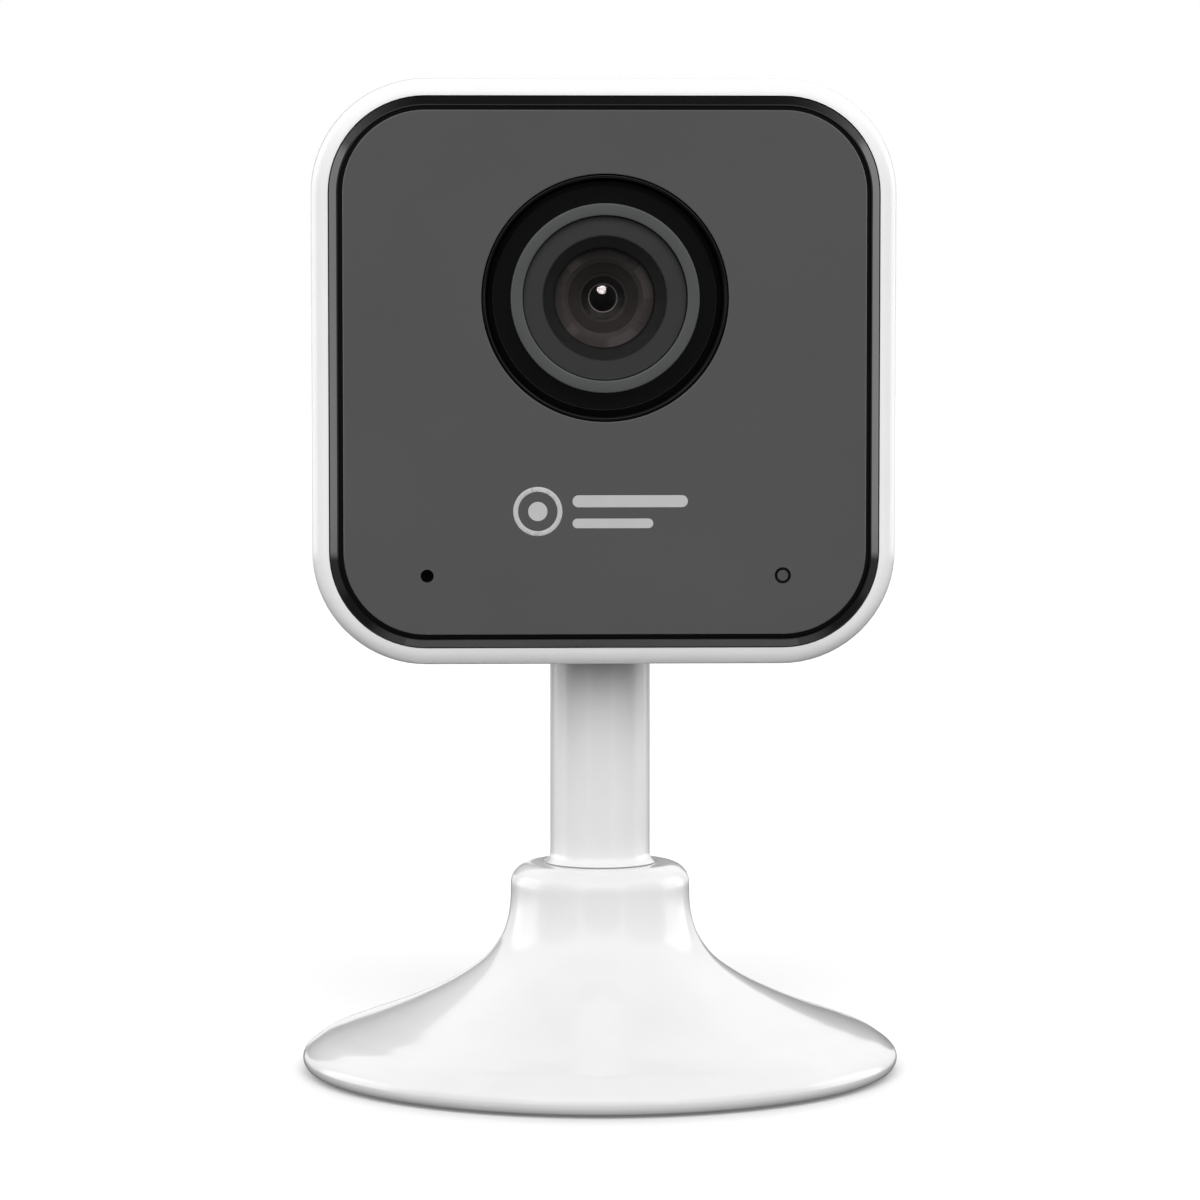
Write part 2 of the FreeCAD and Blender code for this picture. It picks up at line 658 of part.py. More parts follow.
def build_stalk():
    foot = "(collar_top + face_gap)"
    flare = "(stalk_radius + stalk_flare_width)"
    groove = "(spigot_radius - groove_depth)"
    end = f"({RING_LOW} - spigot_tail)"
    top = f"({HINGE_Z} + {KNUCKLE_RADIUS})"
    over = "(stalk_radius + 1)"
    shoulder = f"({HINGE_Z} - {KNUCKLE_RADIUS} - knuckle_reach)"
    bar = turned("stalk_bar", "z", "0", [
        ("0", end), ("spigot_radius - spigot_lead", end), ("spigot_radius", f"{end} + spigot_lead"),
        ("spigot_radius", RING_LOW), (groove, RING_LOW), (groove, RING_TOP),
        ("spigot_radius", RING_TOP), ("spigot_radius", foot), (flare, foot),
        ("stalk_radius", f"{foot} + stalk_flare_height"), ("stalk_radius", top), ("0", top)])
    flats = [box(f"stalk_flat_{side}", span, (f"-{over}", over), (shoulder, f"{top} + 1"))
             for side, span in (("left", (f"-{over}", f"-{KNUCKLE_HALF}")), ("right", (KNUCKLE_HALF, over)))]
    crown = cut("stalk_crown",
                box("stalk_crown_block", (f"-{over}", over), (f"-{over}", over), (HINGE_Z, f"{top} + 1")),
                rod("stalk_crown_round", "x", ("0", HINGE_Z), (f"-{over}", over), KNUCKLE_RADIUS))
    bore = rod("stalk_pin_bore", "x", ("0", HINGE_Z), (f"-{over}", over), "pin_radius + running_gap")
    keep("stalk", cut("stalk", bar, *flats, crown, bore))
    keep("swivel_ring", tube("swivel_ring", "z", ("0", "0"), (RING_LOW, RING_TOP),
                             f"{groove} + ring_width", groove))
    keep("swivel_washer", tube("swivel_washer", "z", ("0", "0"), (RING_TOP, f"{COLLAR_ROOF} - face_gap"),
                               "spigot_radius + washer_width", "spigot_radius + running_gap"))


# ---------------------------------------------------------------- tilt hinge in the head

def build_hinge():
    centre = ("0", HINGE_Z)
    wall = f"({SLOT_HALF} + slot_wall)"
    plate = f"({wall} + side_plate)"
    washers, plates = [], []
    for side, sign in (("left", "-"), ("right", "")):
        def span(near, far):
            return (f"-({far})", f"-({near})") if sign else (near, far)
        washers.append(tube(f"hinge_washer_{side}", "x", centre,
                            span(f"{KNUCKLE_HALF} + face_gap", SLOT_HALF),
                            f"{KNUCKLE_RADIUS} - friction_margin", "pin_radius"))
        blank = box(f"hinge_plate_blank_{side}", span(wall, plate), ("-side_plate_half", "side_plate_half"),
                    (f"{HINGE_Z} - side_plate_half", f"{HINGE_Z} + side_plate_half"))
        plates.append(cut(f"hinge_plate_{side}", blank,
                          rod(f"hinge_plate_hole_{side}", "x", centre, span("0", f"{plate} + 1"),
                              "pin_radius")))
    keep("hinge_washers", group("hinge_washers", *washers))
    keep("hinge_plates", group("hinge_plates", *plates))
    spring_end = f"({plate} + spring_thickness)"
    nut_end = f"({spring_end} + nut_thickness)"
    keep("hinge_pin", fuse("hinge_pin",
                           rod("hinge_pin_head", "x", centre, (f"-{plate} - pin_head_length", f"-{plate}"),
                               "pin_head_radius"),
                           rod("hinge_pin_shank", "x", centre, (f"-{plate}", f"{nut_end} + pin_end"),
                               "pin_radius")))
    keep("hinge_spring", tube("hinge_spring", "x", centre, (plate, spring_end), "pin_head_radius",
                              "pin_radius"))
    nut = doc.addObject("Part::Prism", "hinge_nut_blank")
    nut.Polygon = 6
    nut.Placement = Placement(Vector(), Rotation(Vector(0, 1, 0), 90))
    bind(nut, "Circumradius", "nut_radius")
    bind(nut, "Height", "nut_thickness")
    bind(nut, "Placement.Base.x", spring_end)
    bind(nut, "Placement.Base.z", HINGE_Z)
    keep("hinge_nut", cut("hinge_nut", nut, rod("hinge_nut_hole", "x", centre, ("0", f"{nut_end} + 1"),
                                                "pin_radius")))


# ---------------------------------------------------------------- head shell

def frame_screw_places():
    for sign in ("-", ""):
        yield (f"{sign}{UPPER_SCREW}", f"{HEAD_MID} + {UPPER_SCREW}")
        yield (f"{sign}{LOWER_SCREW_X}", f"{BOARD_LOW} - boss_radius - lower_screw_clear")


def board_post_places():
    for sign in ("-", ""):
        for height in (f"{BOARD_LOW} + post_rise", f"{BOARD_TOP} - post_drop"):
            yield (f"{sign}({BOARD_NECK} - post_inset)", height)


def grille_places():
    """Centre hole of the speaker grille and the rings of holes round it."""
    yield ("0", SPEAKER_Z)
    for ring in range(1, int(number("grille_rings")) + 1):
        for index in range(6 * ring):
            turn = 60 * index / ring
            reach = f"grille_pitch * {ring}"
            yield (f"{reach} * cos({turn})", f"{SPEAKER_Z} + {reach} * sin({turn})")


def build_rear_housing():
    outside = slab("housing_outside", "head_size", "head_corner", ("-head_rim", "head_back"),
                   back_round="back_round", front_round="rim_fall")
    cavity = slab("housing_cavity", "head_size - 2 * head_wall", "head_corner - head_wall",
                  ("-head_rim - rim_fall", CAVITY_BACK), back_round="back_round - head_wall")
    channel = box("hinge_channel", (f"-{SLOT_HALF} - slot_wall", f"{SLOT_HALF} + slot_wall"),
                  (f"{SLOT_FRONT} - slot_wall", "head_back"), ("head_bottom", f"{SLOT_ROOF} + slot_wall"))
    post_root = f"{CAVITY_BACK} + head_wall / 2"
    bosses = [rod(f"frame_boss_{index}", "y", centre, (BOSS_FRONT, BOSS_BACK), "boss_radius")
              for index, centre in enumerate(frame_screw_places(), start=1)]
    posts = [rod(f"board_post_{index}", "y", centre, (BOARD_BACK, post_root), "post_radius")
             for index, centre in enumerate(board_post_places(), start=1)]
    inside = common("housing_ribs", outside, group("housing_rib_blanks", channel, *bosses, *posts))
    shell = fuse("housing_blank", cut("housing_shell", outside, cavity), inside)
    drilled = cut("housing_drilled", cut("housing_slotted", shell, *slot_tools()), *housing_holes())
    mouth, recess = socket_tools()
    third = cut("housing_usb", cut("housing_usb_mouth", drilled, mouth), recess)
    grille = [rod(f"grille_{index}", "y", centre, THROUGH_BACK, "grille_hole")
              for index, centre in enumerate(grille_places(), start=1)]
    keep("rear_housing", cut("rear_housing", third, *grille))


def slot_tools():
    """Room for the stalk, open below and behind, and the hole for the hinge pin."""
    yield box("hinge_slot", (f"-{SLOT_HALF}", SLOT_HALF), (SLOT_FRONT, "head_back + 1"),
              ("head_bottom - 1", SLOT_ROOF))
    reach = f"{SLOT_HALF} + slot_wall + 1"
    yield rod("housing_pin_hole", "x", ("0", HINGE_Z), (f"-({reach})", reach), "pin_radius")


def housing_holes():
    for index, centre in enumerate(frame_screw_places(), start=1):
        yield rod(f"frame_boss_hole_{index}", "y", centre,
                  (f"{BOSS_FRONT} - 1", f"{BOSS_FRONT} + screw_length"), "screw_shank + running_gap")
    for index, centre in enumerate(board_post_places(), start=1):
        yield rod(f"board_post_hole_{index}", "y", centre,
                  (f"{BOARD_BACK} - 1", f"{BOARD_BACK} + board_screw_length"), "screw_shank + running_gap")
    yield rod("button_hole", "y", ("button_x", USB_Z), THROUGH_BACK, "button_radius + slip_gap")
    yield box("card_slot", ("-head_size / 2 - 1", "-head_size / 2 + head_wall + 1"),
              (f"{CARD_MIDDLE} - card_slot_height / 2", f"{CARD_MIDDLE} + card_slot_height / 2"),
              (f"{CARD_Z} - card_slot_half", f"{CARD_Z} + card_slot_half"))


def socket_tools():
    """Hole for the power socket, and the wider recess round its mouth."""
    for label, margin, depths in (("usb_mouth", "slip_gap", THROUGH_BACK),
                                  ("usb_recess", "usb_border", (USB_MOUTH, "head_back + 1"))):
        yield box(label, (f"-usb_half - {margin}", f"usb_half + {margin}"), depths,
                  (f"{USB_Z} - usb_height / 2 - {margin}", f"{USB_Z} + usb_height / 2 + {margin}"))


# ---------------------------------------------------------------- front frame and face

def build_front():
    blank = slab("front_frame_blank", FRAME_SIZE, FRAME_CORNER, (FRAME_FRONT, FRAME_BACK),
                 front_bevel=("frame_proud", "frame_bevel_width"))
    recess = slab("face_recess", f"{FACE_SIZE} + 2 * face_gap_width", f"{FACE_CORNER} + face_gap_width",
                  (f"{FRAME_FRONT} - 1", FLOOR_FRONT))
    hollow = slab("frame_hollow", f"{FRAME_SIZE} - 2 * frame_wall", f"{FRAME_CORNER} - frame_wall",
                  (FLOOR_BACK, f"{FRAME_BACK} + 1"))
    towers, wells, holes, screws = [], [], [], []
    for index, centre in enumerate(frame_screw_places(), start=1):
        seat = f"({FLOOR_FRONT} + screw_head_length + face_gap)"
        towers.append(rod(f"frame_tower_{index}", "y", centre, (FLOOR_BACK, f"{BOSS_FRONT} - face_gap"),
                          "boss_radius"))
        wells.append(rod(f"frame_well_{index}", "y", centre, (f"{FLOOR_FRONT} - 1", seat),
                         "screw_head_radius + slip_gap"))
        holes.append(rod(f"frame_hole_{index}", "y", centre, (f"{FLOOR_FRONT} - 1", f"{BOSS_FRONT} + 1"),
                         "screw_shank + running_gap"))
        screws.append(screw(f"housing_screw_{index}", "y", centre, f"{FLOOR_FRONT} + face_gap", 1,
                            "screw_head_radius", "screw_head_length", "screw_shank", "screw_length"))
    through = (FRAME_FRONT, FRAME_BACK)
    lens_hole = rod("frame_lens_hole", "y", ("0", LENS_Z), through, "recess_radius + slip_gap")
    ports = [rod("frame_mic_hole", "y", (f"-{PORT_X}", PORT_Z), through, "mic_hole"),
             rod("frame_light_hole", "y", (PORT_X, PORT_Z), through, "light_hole")]
    lamp_holes = [rod(f"frame_lamp_hole_{index}", "y", centre, through, "lamp_radius + lamp_hole_gap")
                  for index, centre in enumerate(lamp_places(), start=1)]
    frame = fuse("front_frame_solid", cut("front_frame_open", cut("front_frame_cup", blank, recess), hollow),
                 *towers)
    keep("front_frame", cut("front_frame", cut("front_frame_wells", frame, *wells), lens_hole, *holes,
                            *ports, *lamp_holes))
    keep("housing_screws", group("housing_screws", *screws))
    face = slab("face_blank", FACE_SIZE, FACE_CORNER, (FACE_FRONT, FLOOR_FRONT))
    through = (f"{FACE_FRONT} - 1", f"{FLOOR_FRONT} + 1")
    face_holes = [rod("face_lens_hole", "y", ("0", LENS_Z), through, "recess_radius"),
                  rod("face_mic_hole", "y", (f"-{PORT_X}", PORT_Z), through, "mic_hole"),
                  rod("face_light_hole", "y", (PORT_X, PORT_Z), through, "light_hole")]
    keep("face_panel", cut("face_panel", face, *face_holes))


# ---------------------------------------------------------------- lens

def lamp_places():
    for side in ("-", ""):
        for rise in ("-", "+"):
            yield (f"{side}lamp_x", f"{LENS_Z} {rise} lamp_rise")


def build_lens():
    rim = "(recess_radius - slip_gap)"
    well = f"({BEZEL_INNER} + face_gap)"
    flange = "(recess_radius + surround_flange_width)"
    keep("lens_surround", turned("lens_surround", "y", LENS_Z, [
        (rim, f"{FACE_FRONT} + slip_gap"), (rim, FLOOR_BACK), (flange, FLOOR_BACK),
        (flange, SURROUND_BACK), (well, SURROUND_BACK), (well, RECESS_FLOOR),
        (f"{rim} - recess_slant", RECESS_FLOOR)]))
    keep("lens_bezel", turned("lens_bezel", "y", LENS_Z, [
        ("bezel_radius", RECESS_FLOOR), ("bezel_radius", f"{BEZEL_FRONT} + bezel_edge"),
        ("bezel_radius - bezel_edge", BEZEL_FRONT), (f"{BEZEL_INNER} + bezel_edge", BEZEL_FRONT),
        (BEZEL_INNER, f"{BEZEL_FRONT} + bezel_edge"), (BEZEL_INNER, RECESS_FLOOR)]))
    keep("lens_cover", rod("lens_cover", "y", ("0", LENS_Z), (COVER_FRONT, COVER_BACK), COVER_RADIUS))
    keep("lens_hood", turned("lens_hood", "y", LENS_Z, [
        ("hood_mouth", COVER_BACK), (COVER_RADIUS, COVER_BACK), (COVER_RADIUS, HOOD_BACK),
        ("hood_throat", HOOD_BACK)]))
    seat, stop, rear = [f"({name} + running_gap)" for name in
                        ("front_lens_radius", "stop_radius", "rear_lens_radius")]
    keep("lens_barrel", turned("lens_barrel", "y", LENS_Z, [
        (seat, BARREL_FRONT), (BARREL_HEAD, BARREL_FRONT), (BARREL_HEAD, BARREL_SHOULDER),
        (THREAD_RADIUS, BARREL_SHOULDER), (THREAD_RADIUS, BARREL_END), (rear, BARREL_END),
        (rear, STOP_BACK), (stop, STOP_BACK), (stop, SPACER_BACK), (seat, SPACER_BACK)]))
    keep("lens_retainer", tube("lens_retainer", "y", ("0", LENS_Z), (BARREL_FRONT, RETAINER_BACK),
                               "front_lens_radius", LENS_OPENING))
    edge = tube("front_lens_rim", "y", ("0", LENS_Z), (RETAINER_BACK, FRONT_LENS_BACK),
                "front_lens_radius", f"{LENS_OPENING} - front_lens_lap")
    core = rod("front_lens_core", "y", ("0", LENS_Z), (BARREL_FRONT, FRONT_LENS_BACK), LENS_OPENING)
    dome = ball("front_lens_dome", ("0", f"{BARREL_FRONT} + front_lens_curve", LENS_Z), "front_lens_curve")
    keep("lens_front", common("lens_front", fuse("front_lens_blank", edge, core), dome))
    keep("lens_spacer", tube("lens_spacer", "y", ("0", LENS_Z), (FRONT_LENS_BACK, SPACER_BACK),
                             "front_lens_radius", "spacer_opening"))
    ledge = f"({STOP_BACK} - stop_thickness)"
    keep("aperture_stop", turned("aperture_stop", "y", LENS_Z, [
        ("stop_radius - funnel_lip", SPACER_BACK), ("stop_radius", SPACER_BACK), ("stop_radius", STOP_BACK),
        ("stop_opening", STOP_BACK), ("stop_opening", ledge), ("stop_opening + funnel_ledge", ledge),
        ("stop_opening + funnel_step", f"{SPACER_BACK} + funnel_turn")]))
    disc = rod("rear_lens_disc", "y", ("0", LENS_Z), (STOP_BACK, f"{STOP_BACK} + rear_lens_thickness"),
               "rear_lens_radius")
    bulge = ball("rear_lens_bulge", ("0", f"{STOP_BACK} + rear_lens_curve", LENS_Z), "rear_lens_curve")
    keep("lens_rear", common("lens_rear", disc, bulge))


def beside_lens(half):
    """Span of heights centred on the lens axis."""
    return (f"{LENS_Z} - {half}", f"{LENS_Z} + {half}")


def build_lens_holder():
    block = box("holder_block", (f"-{HOLDER_HALF}", HOLDER_HALF), (HOLDER_FRONT, BOARD_FRONT),
                beside_lens(HOLDER_HALF))
    ears = box("holder_ears", (f"-{EAR_END}", EAR_END), (HOLDER_ROOF, BOARD_FRONT),
               beside_lens("holder_ear_half"))
    bore = rod("holder_bore", "y", ("0", LENS_Z), (f"{HOLDER_FRONT} - 1", BOARD_FRONT),
               f"{THREAD_RADIUS} + running_gap")
    room = box("holder_room", (f"-{HOLDER_ROOM}", HOLDER_ROOM), (HOLDER_ROOF, f"{BOARD_FRONT} + 1"),
               beside_lens(HOLDER_ROOM))
    holes, screws = [], []
    for index, sign in enumerate(("-", ""), start=1):
        centre = (f"{sign}({HOLDER_HALF} + holder_ear / 2)", LENS_Z)
        holes.append(rod(f"holder_hole_{index}", "y", centre, (f"{HOLDER_ROOF} - 1", f"{BOARD_BACK} + 1"),
                         "screw_shank + running_gap"))
        screws.append(screw(f"lens_holder_screw_{index}", "y", centre, f"{BOARD_BACK} + small_head", -1,
                            "holder_screw_head", "small_head", "screw_shank", "holder_screw_length"))
    keep("lens_holder", cut("lens_holder", fuse("holder_blank", block, ears), bore, room, *holes))
    keep("lens_holder_screws", group("lens_holder_screws", *screws))
    keep("ir_cut_filter", box("ir_cut_filter", (f"-{FILTER_HALF}", FILTER_HALF),
                              (HOLDER_ROOF, f"{HOLDER_ROOF} + filter_thickness"), beside_lens(FILTER_HALF)))
    keep("image_sensor", box("image_sensor", ("-sensor_half", "sensor_half"),
                             (f"{BOARD_FRONT} - sensor_thickness", BOARD_FRONT), beside_lens("sensor_half")))
    return holes


# ---------------------------------------------------------------- electronics

def build_boards(holder_holes):
    wide = box("main_board_wide", ("board_margin - head_size / 2", "head_size / 2 - board_margin"),
               (BOARD_FRONT, BOARD_BACK), (BOARD_LOW, BOARD_SHOULDER))
    neck = box("main_board_neck", (f"-{BOARD_NECK}", BOARD_NECK), (BOARD_FRONT, BOARD_BACK),
               (BOARD_LOW, BOARD_TOP))
    post_holes, screws = [], []
    for index, centre in enumerate(board_post_places(), start=1):
        post_holes.append(rod(f"main_board_hole_{index}", "y", centre,
                              (f"{BOARD_FRONT} - 1", f"{BOARD_BACK} + 1"), "screw_shank + running_gap"))
        screws.append(screw(f"board_screw_{index}", "y", centre, f"{BOARD_FRONT} - small_head", 1,
                            "board_screw_head", "small_head", "screw_shank", "board_screw_length"))
    keep("main_board", cut("main_board", fuse("main_board_blank", wide, neck), *post_holes, *holder_holes))
    keep("board_screws", group("board_screws", *screws))
    chip_back = f"({BOARD_BACK} + chip_thickness)"
    pad_back = f"({chip_back} + pad_thickness)"
    chip_square = (("-chip_half", "chip_half"), beside_lens("chip_half"))
    keep("processor", box("processor", chip_square[0], (BOARD_BACK, chip_back), chip_square[1]))
    keep("thermal_pad", box("thermal_pad", chip_square[0], (chip_back, pad_back), chip_square[1]))
    keep("heat_plate", box("heat_plate", ("-heat_half", "heat_half"),
                           (pad_back, f"{pad_back} + heat_thickness"),
                           (f"{HEADER_LOW} + header_height + heat_clear", f"{LENS_Z} + heat_reach")))
    memory_z = f"({BOARD_LOW} + memory_rise)"
    chips = [box(f"memory_chip_{index}", (f"{sign}memory_x - memory_half", f"{sign}memory_x + memory_half"),
                 (f"{BOARD_FRONT} - chip_thickness", BOARD_FRONT),
                 (f"{memory_z} - memory_half", f"{memory_z} + memory_half"))
             for index, sign in enumerate(("-", ""), start=1)]
    keep("memory_chips", group("memory_chips", *chips))
    radio_z = f"({LENS_Z} + radio_rise)"
    keep("radio_module", box("radio_module", (f"{RADIO_X} - radio_half", f"{RADIO_X} + radio_half"),
                             (f"{BOARD_FRONT} - radio_thickness", BOARD_FRONT),
                             (f"{radio_z} - radio_half", f"{radio_z} + radio_half")))
    ceiling = "(head_bottom + head_size - head_wall)"
    keep("antenna", box("antenna", ("-antenna_half", "antenna_half"),
                        ("-antenna_front", "antenna_width - antenna_front"),
                        (f"{ceiling} - antenna_thickness", ceiling)))


def build_card_socket():
    side = "(card_margin - head_size / 2)"
    shell = box("card_shell", (side, f"{side} + card_length"), (BOARD_BACK, f"{BOARD_BACK} + card_thickness"),
                (f"{CARD_Z} - card_half", f"{CARD_Z} + card_half"))
    mouth = box("card_mouth", (f"{side} - 1", f"{side} + card_length - card_stop"),
                (f"{CARD_MIDDLE} - card_slot_height / 2", f"{CARD_MIDDLE} + card_slot_height / 2"),
                (f"{CARD_Z} - card_slot_half", f"{CARD_Z} + card_slot_half"))
    keep("card_socket", cut("card_socket", shell, mouth))


def build_power_board():
    keep("power_board", box("power_board", ("-power_board_half", "power_board_half"),
                            (POWER_FRONT, POWER_BACK), (BOARD_LOW, f"{BOARD_LOW} + power_board_height")))
    keep("board_header", box("board_header", ("-header_x - header_half", "-header_x + header_half"),
                             (BOARD_BACK, POWER_FRONT), (HEADER_LOW, f"{HEADER_LOW} + header_height")))
    shell = box("usb_shell", ("-usb_half", "usb_half"), (POWER_BACK, USB_MOUTH),
                (f"{USB_Z} - usb_height / 2", f"{USB_Z} + usb_height / 2"))
    room = box("usb_room", ("usb_wall - usb_half", "usb_half - usb_wall"),
               (f"{POWER_BACK} + usb_floor", f"{USB_MOUTH} + 1"),
               (f"{USB_Z} - usb_height / 2 + usb_wall", f"{USB_Z} + usb_height / 2 - usb_wall"))
    tongue = box("usb_tongue", ("usb_tongue_margin - usb_half", "usb_half - usb_tongue_margin"),
                 (f"{POWER_BACK} + usb_floor / 2", f"{USB_MOUTH} - usb_floor"),
                 (USB_Z, f"{USB_Z} + usb_tongue"))
    keep("usb_socket", fuse("usb_socket", cut("usb_hollow", shell, room), tongue))


def build_button():
    """Reset button in the back wall, over a small switch on the power board."""
    centre = ("button_x", USB_Z)
    body_back = f"({POWER_BACK} + switch_thickness)"
    plunger_back = f"({body_back} + switch_plunger)"
    switch = box("switch_body", ("button_x - switch_half", "button_x + switch_half"), (POWER_BACK, body_back),
                 (f"{USB_Z} - switch_half", f"{USB_Z} + switch_half"))
    keep("button_switch", fuse("button_switch", switch,
                               rod("switch_plunger", "y", centre, (body_back, plunger_back),
                                   "switch_plunger_radius")))
    collar_back = f"({CAVITY_BACK} - face_gap)"
    stem = rod("button_stem", "y", centre, (f"{plunger_back} + button_travel + face_gap",
                                            "head_back - button_sink"), "button_radius")
    collar = rod("button_collar", "y", centre, (f"{collar_back} - button_collar_thickness", collar_back),
                 "button_collar")
    keep("reset_button", fuse("reset_button", stem, collar))


def build_speaker():
    centre = ("0", SPEAKER_Z)
    back = f"({CAVITY_BACK} - face_gap)"
    front = f"({back} - speaker_depth)"
    floor = f"({front} + speaker_wall)"
    coil = "(speaker_magnet / 2)"
    can = rod("speaker_can", "y", centre, (front, back), "speaker_radius")
    room = rod("speaker_room", "y", centre, (floor, f"{back} + 1"), "speaker_radius - speaker_wall")
    coil_hole = rod("speaker_coil_hole", "y", centre, (f"{front} - 1", f"{floor} + 1"), coil)
    keep("speaker_frame", cut("speaker_frame", can, room, coil_hole))
    keep("speaker_magnet", rod("speaker_magnet", "y", centre, (f"{front} - speaker_magnet_depth", front),
                               "speaker_magnet"))
    reach = "(speaker_radius - speaker_wall - running_gap)"
    dip, rim = f"({floor} + cone_rise)", f"({back} - cone_margin)"
    keep("speaker_cone", turned("speaker_cone", "y", SPEAKER_Z, [
        ("0", f"{dip} + cone_thickness"), (coil, dip), (reach, rim), (reach, f"{rim} + cone_thickness"),
        (coil, f"{dip} + cone_thickness"), ("0", f"{dip} + 2 * cone_thickness")]))


def build_lamps():
    back = f"({FRAME_BACK} + lamp_board_thickness)"
    plate = box("lamp_board_plate", (f"-{BOARD_NECK}", BOARD_NECK), (FRAME_BACK, back),
                beside_lens("(lamp_rise + lamp_board_margin)"))
    hole = rod("lamp_board_opening", "y", ("0", LENS_Z), (f"{FRAME_BACK} - 1", f"{back} + 1"),
               f"{BARREL_HEAD} + lamp_board_gap")
    keep("lamp_board", cut("lamp_board", plate, hole))
    lamps = [rod(f"infrared_lamp_{index}", "y", centre, (f"{FLOOR_FRONT} + lamp_gap", FRAME_BACK),
                 "lamp_radius")
             for index, centre in enumerate(lamp_places(), start=1)]
    keep("infrared_lamps", group("infrared_lamps", *lamps))


def build_ports():
    """Microphone behind the left port, status light behind the right one."""
    back = f"({PORT_BOARD_FRONT} + port_board_thickness)"
    for label, sign in (("mic_board", "-"), ("light_board", "")):
        keep(label, box(label, (f"{sign}{PORT_X} - port_board_half", f"{sign}{PORT_X} + port_board_half"),
                        (PORT_BOARD_FRONT, back),
                        (f"{PORT_Z} - port_board_half + port_board_trim", f"{PORT_Z} + port_board_half")))
    centre = (f"-{PORT_X}", PORT_Z)
    mic_front = f"({FLOOR_BACK} + mic_seat)"
    boot = rod("mic_boot_blank", "y", centre, (FLOOR_BACK, PORT_BOARD_FRONT), "boot_radius")
    pocket = rod("mic_boot_pocket", "y", centre, (mic_front, f"{PORT_BOARD_FRONT} + 1"),
                 "mic_radius + running_gap")
    hole = rod("mic_boot_hole", "y", centre, (f"{FLOOR_BACK} - 1", mic_front), "mic_hole")
    keep("mic_boot", cut("mic_boot", boot, pocket, hole))
    keep("microphone", rod("microphone", "y", centre, (mic_front, PORT_BOARD_FRONT), "mic_radius"))
    centre = (PORT_X, PORT_Z)
    light_front = f"({PORT_BOARD_FRONT} - light_thickness)"
    keep("status_light", box("status_light", (f"{PORT_X} - light_hole", f"{PORT_X} + light_hole"),
                             (light_front, PORT_BOARD_FRONT),
                             (f"{PORT_Z} - light_hole", f"{PORT_Z} + light_hole")))
    stem = rod("light_pipe_stem", "y", centre, (f"{FACE_FRONT} + pipe_sink", light_front), "light_pipe")
    collar = rod("light_pipe_collar", "y", centre, (FLOOR_BACK, f"{FLOOR_BACK} + pipe_collar_thickness"),
                 "pipe_collar")
    keep("light_pipe", fuse("light_pipe", stem, collar))


# ---------------------------------------------------------------- build, check and write

build_base()
build_stalk()
build_hinge()
build_rear_housing()
build_front()
build_lens()
build_boards(build_lens_holder())
build_card_socket()
build_power_board()
build_button()
build_speaker()
build_lamps()
build_ports()
doc.recompute()

for item in doc.Objects:
    if "Invalid" in item.State or "Error" in item.State:
        raise RuntimeError(f"{item.Label} failed: {item.State}")
for label, item in nodes.items():
    if item.Shape.isNull() or not item.Shape.isValid() or not item.Shape.Solids:
        raise RuntimeError(f"{label} has no valid solid")

os.makedirs("parts", exist_ok=True)
for label, item in nodes.items():
    item.Shape.exportStep(f"parts/{label}.step")
print(f"{len(nodes)} sub-parts written")
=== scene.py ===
import json
import math

import bmesh
import bpy
from mathutils import Matrix, Vector


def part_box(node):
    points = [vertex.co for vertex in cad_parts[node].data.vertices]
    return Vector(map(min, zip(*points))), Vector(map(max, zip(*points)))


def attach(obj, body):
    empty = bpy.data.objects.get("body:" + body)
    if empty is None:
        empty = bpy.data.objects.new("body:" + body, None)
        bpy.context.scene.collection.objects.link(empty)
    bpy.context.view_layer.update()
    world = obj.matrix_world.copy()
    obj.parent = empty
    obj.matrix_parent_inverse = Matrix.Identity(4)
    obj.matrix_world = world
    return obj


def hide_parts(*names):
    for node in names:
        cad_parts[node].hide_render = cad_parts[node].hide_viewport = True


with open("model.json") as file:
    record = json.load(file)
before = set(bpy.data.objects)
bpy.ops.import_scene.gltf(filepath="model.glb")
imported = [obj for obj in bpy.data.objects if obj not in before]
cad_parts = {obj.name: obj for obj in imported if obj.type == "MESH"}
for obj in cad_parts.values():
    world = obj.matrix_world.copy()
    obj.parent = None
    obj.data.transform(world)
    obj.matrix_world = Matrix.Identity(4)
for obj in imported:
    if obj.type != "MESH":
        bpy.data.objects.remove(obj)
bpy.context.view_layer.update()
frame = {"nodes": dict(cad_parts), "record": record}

# Security camera: a square white head with a dark glossy face and a round recessed lens, on a
# stalk and a flared round base. Metres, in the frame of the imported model: +Z is up and the lens
# looks towards -Y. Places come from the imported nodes' boxes. Sizes that no box gives repeat those in
# part.py. MM turns a size in millimetres into metres.

MM = 0.001
COLLECTION = bpy.context.scene.collection


# ---------------------------------------------------------------- outlines

def arc(centre, radius, start, end, steps):
    """Points of a circular arc in the plane, angles in degrees."""
    for index in range(steps + 1):
        turn = math.radians(start + (end - start) * index / steps)
        yield (centre[0] + radius * math.cos(turn), centre[1] + radius * math.sin(turn))


def softened(points, radius, closed=True, steps=4):
    """The outline with each corner replaced by a small arc, as a moulded or turned edge has."""
    count = len(points)
    result = []
    for index, point in enumerate(points):
        if not closed and index in (0, count - 1):
            result.append(point)
            continue
        here = Vector(point)
        before = Vector(points[index - 1]) - here
        after = Vector(points[(index + 1) % count]) - here
        half_turn = before.angle(after) / 2
        if half_turn > math.radians(84):  # nearly straight, so there is no corner to round
            result.append(point)
            continue
        reach = min(radius / math.tan(half_turn), before.length * 0.45, after.length * 0.45)
        start, end = here + before.normalized() * reach, here + after.normalized() * reach
        for step in range(steps + 1):
            share = step / steps
            bend = start.lerp(here, share).lerp(here.lerp(end, share), share)
            result.append((bend.x, bend.y))
    return result


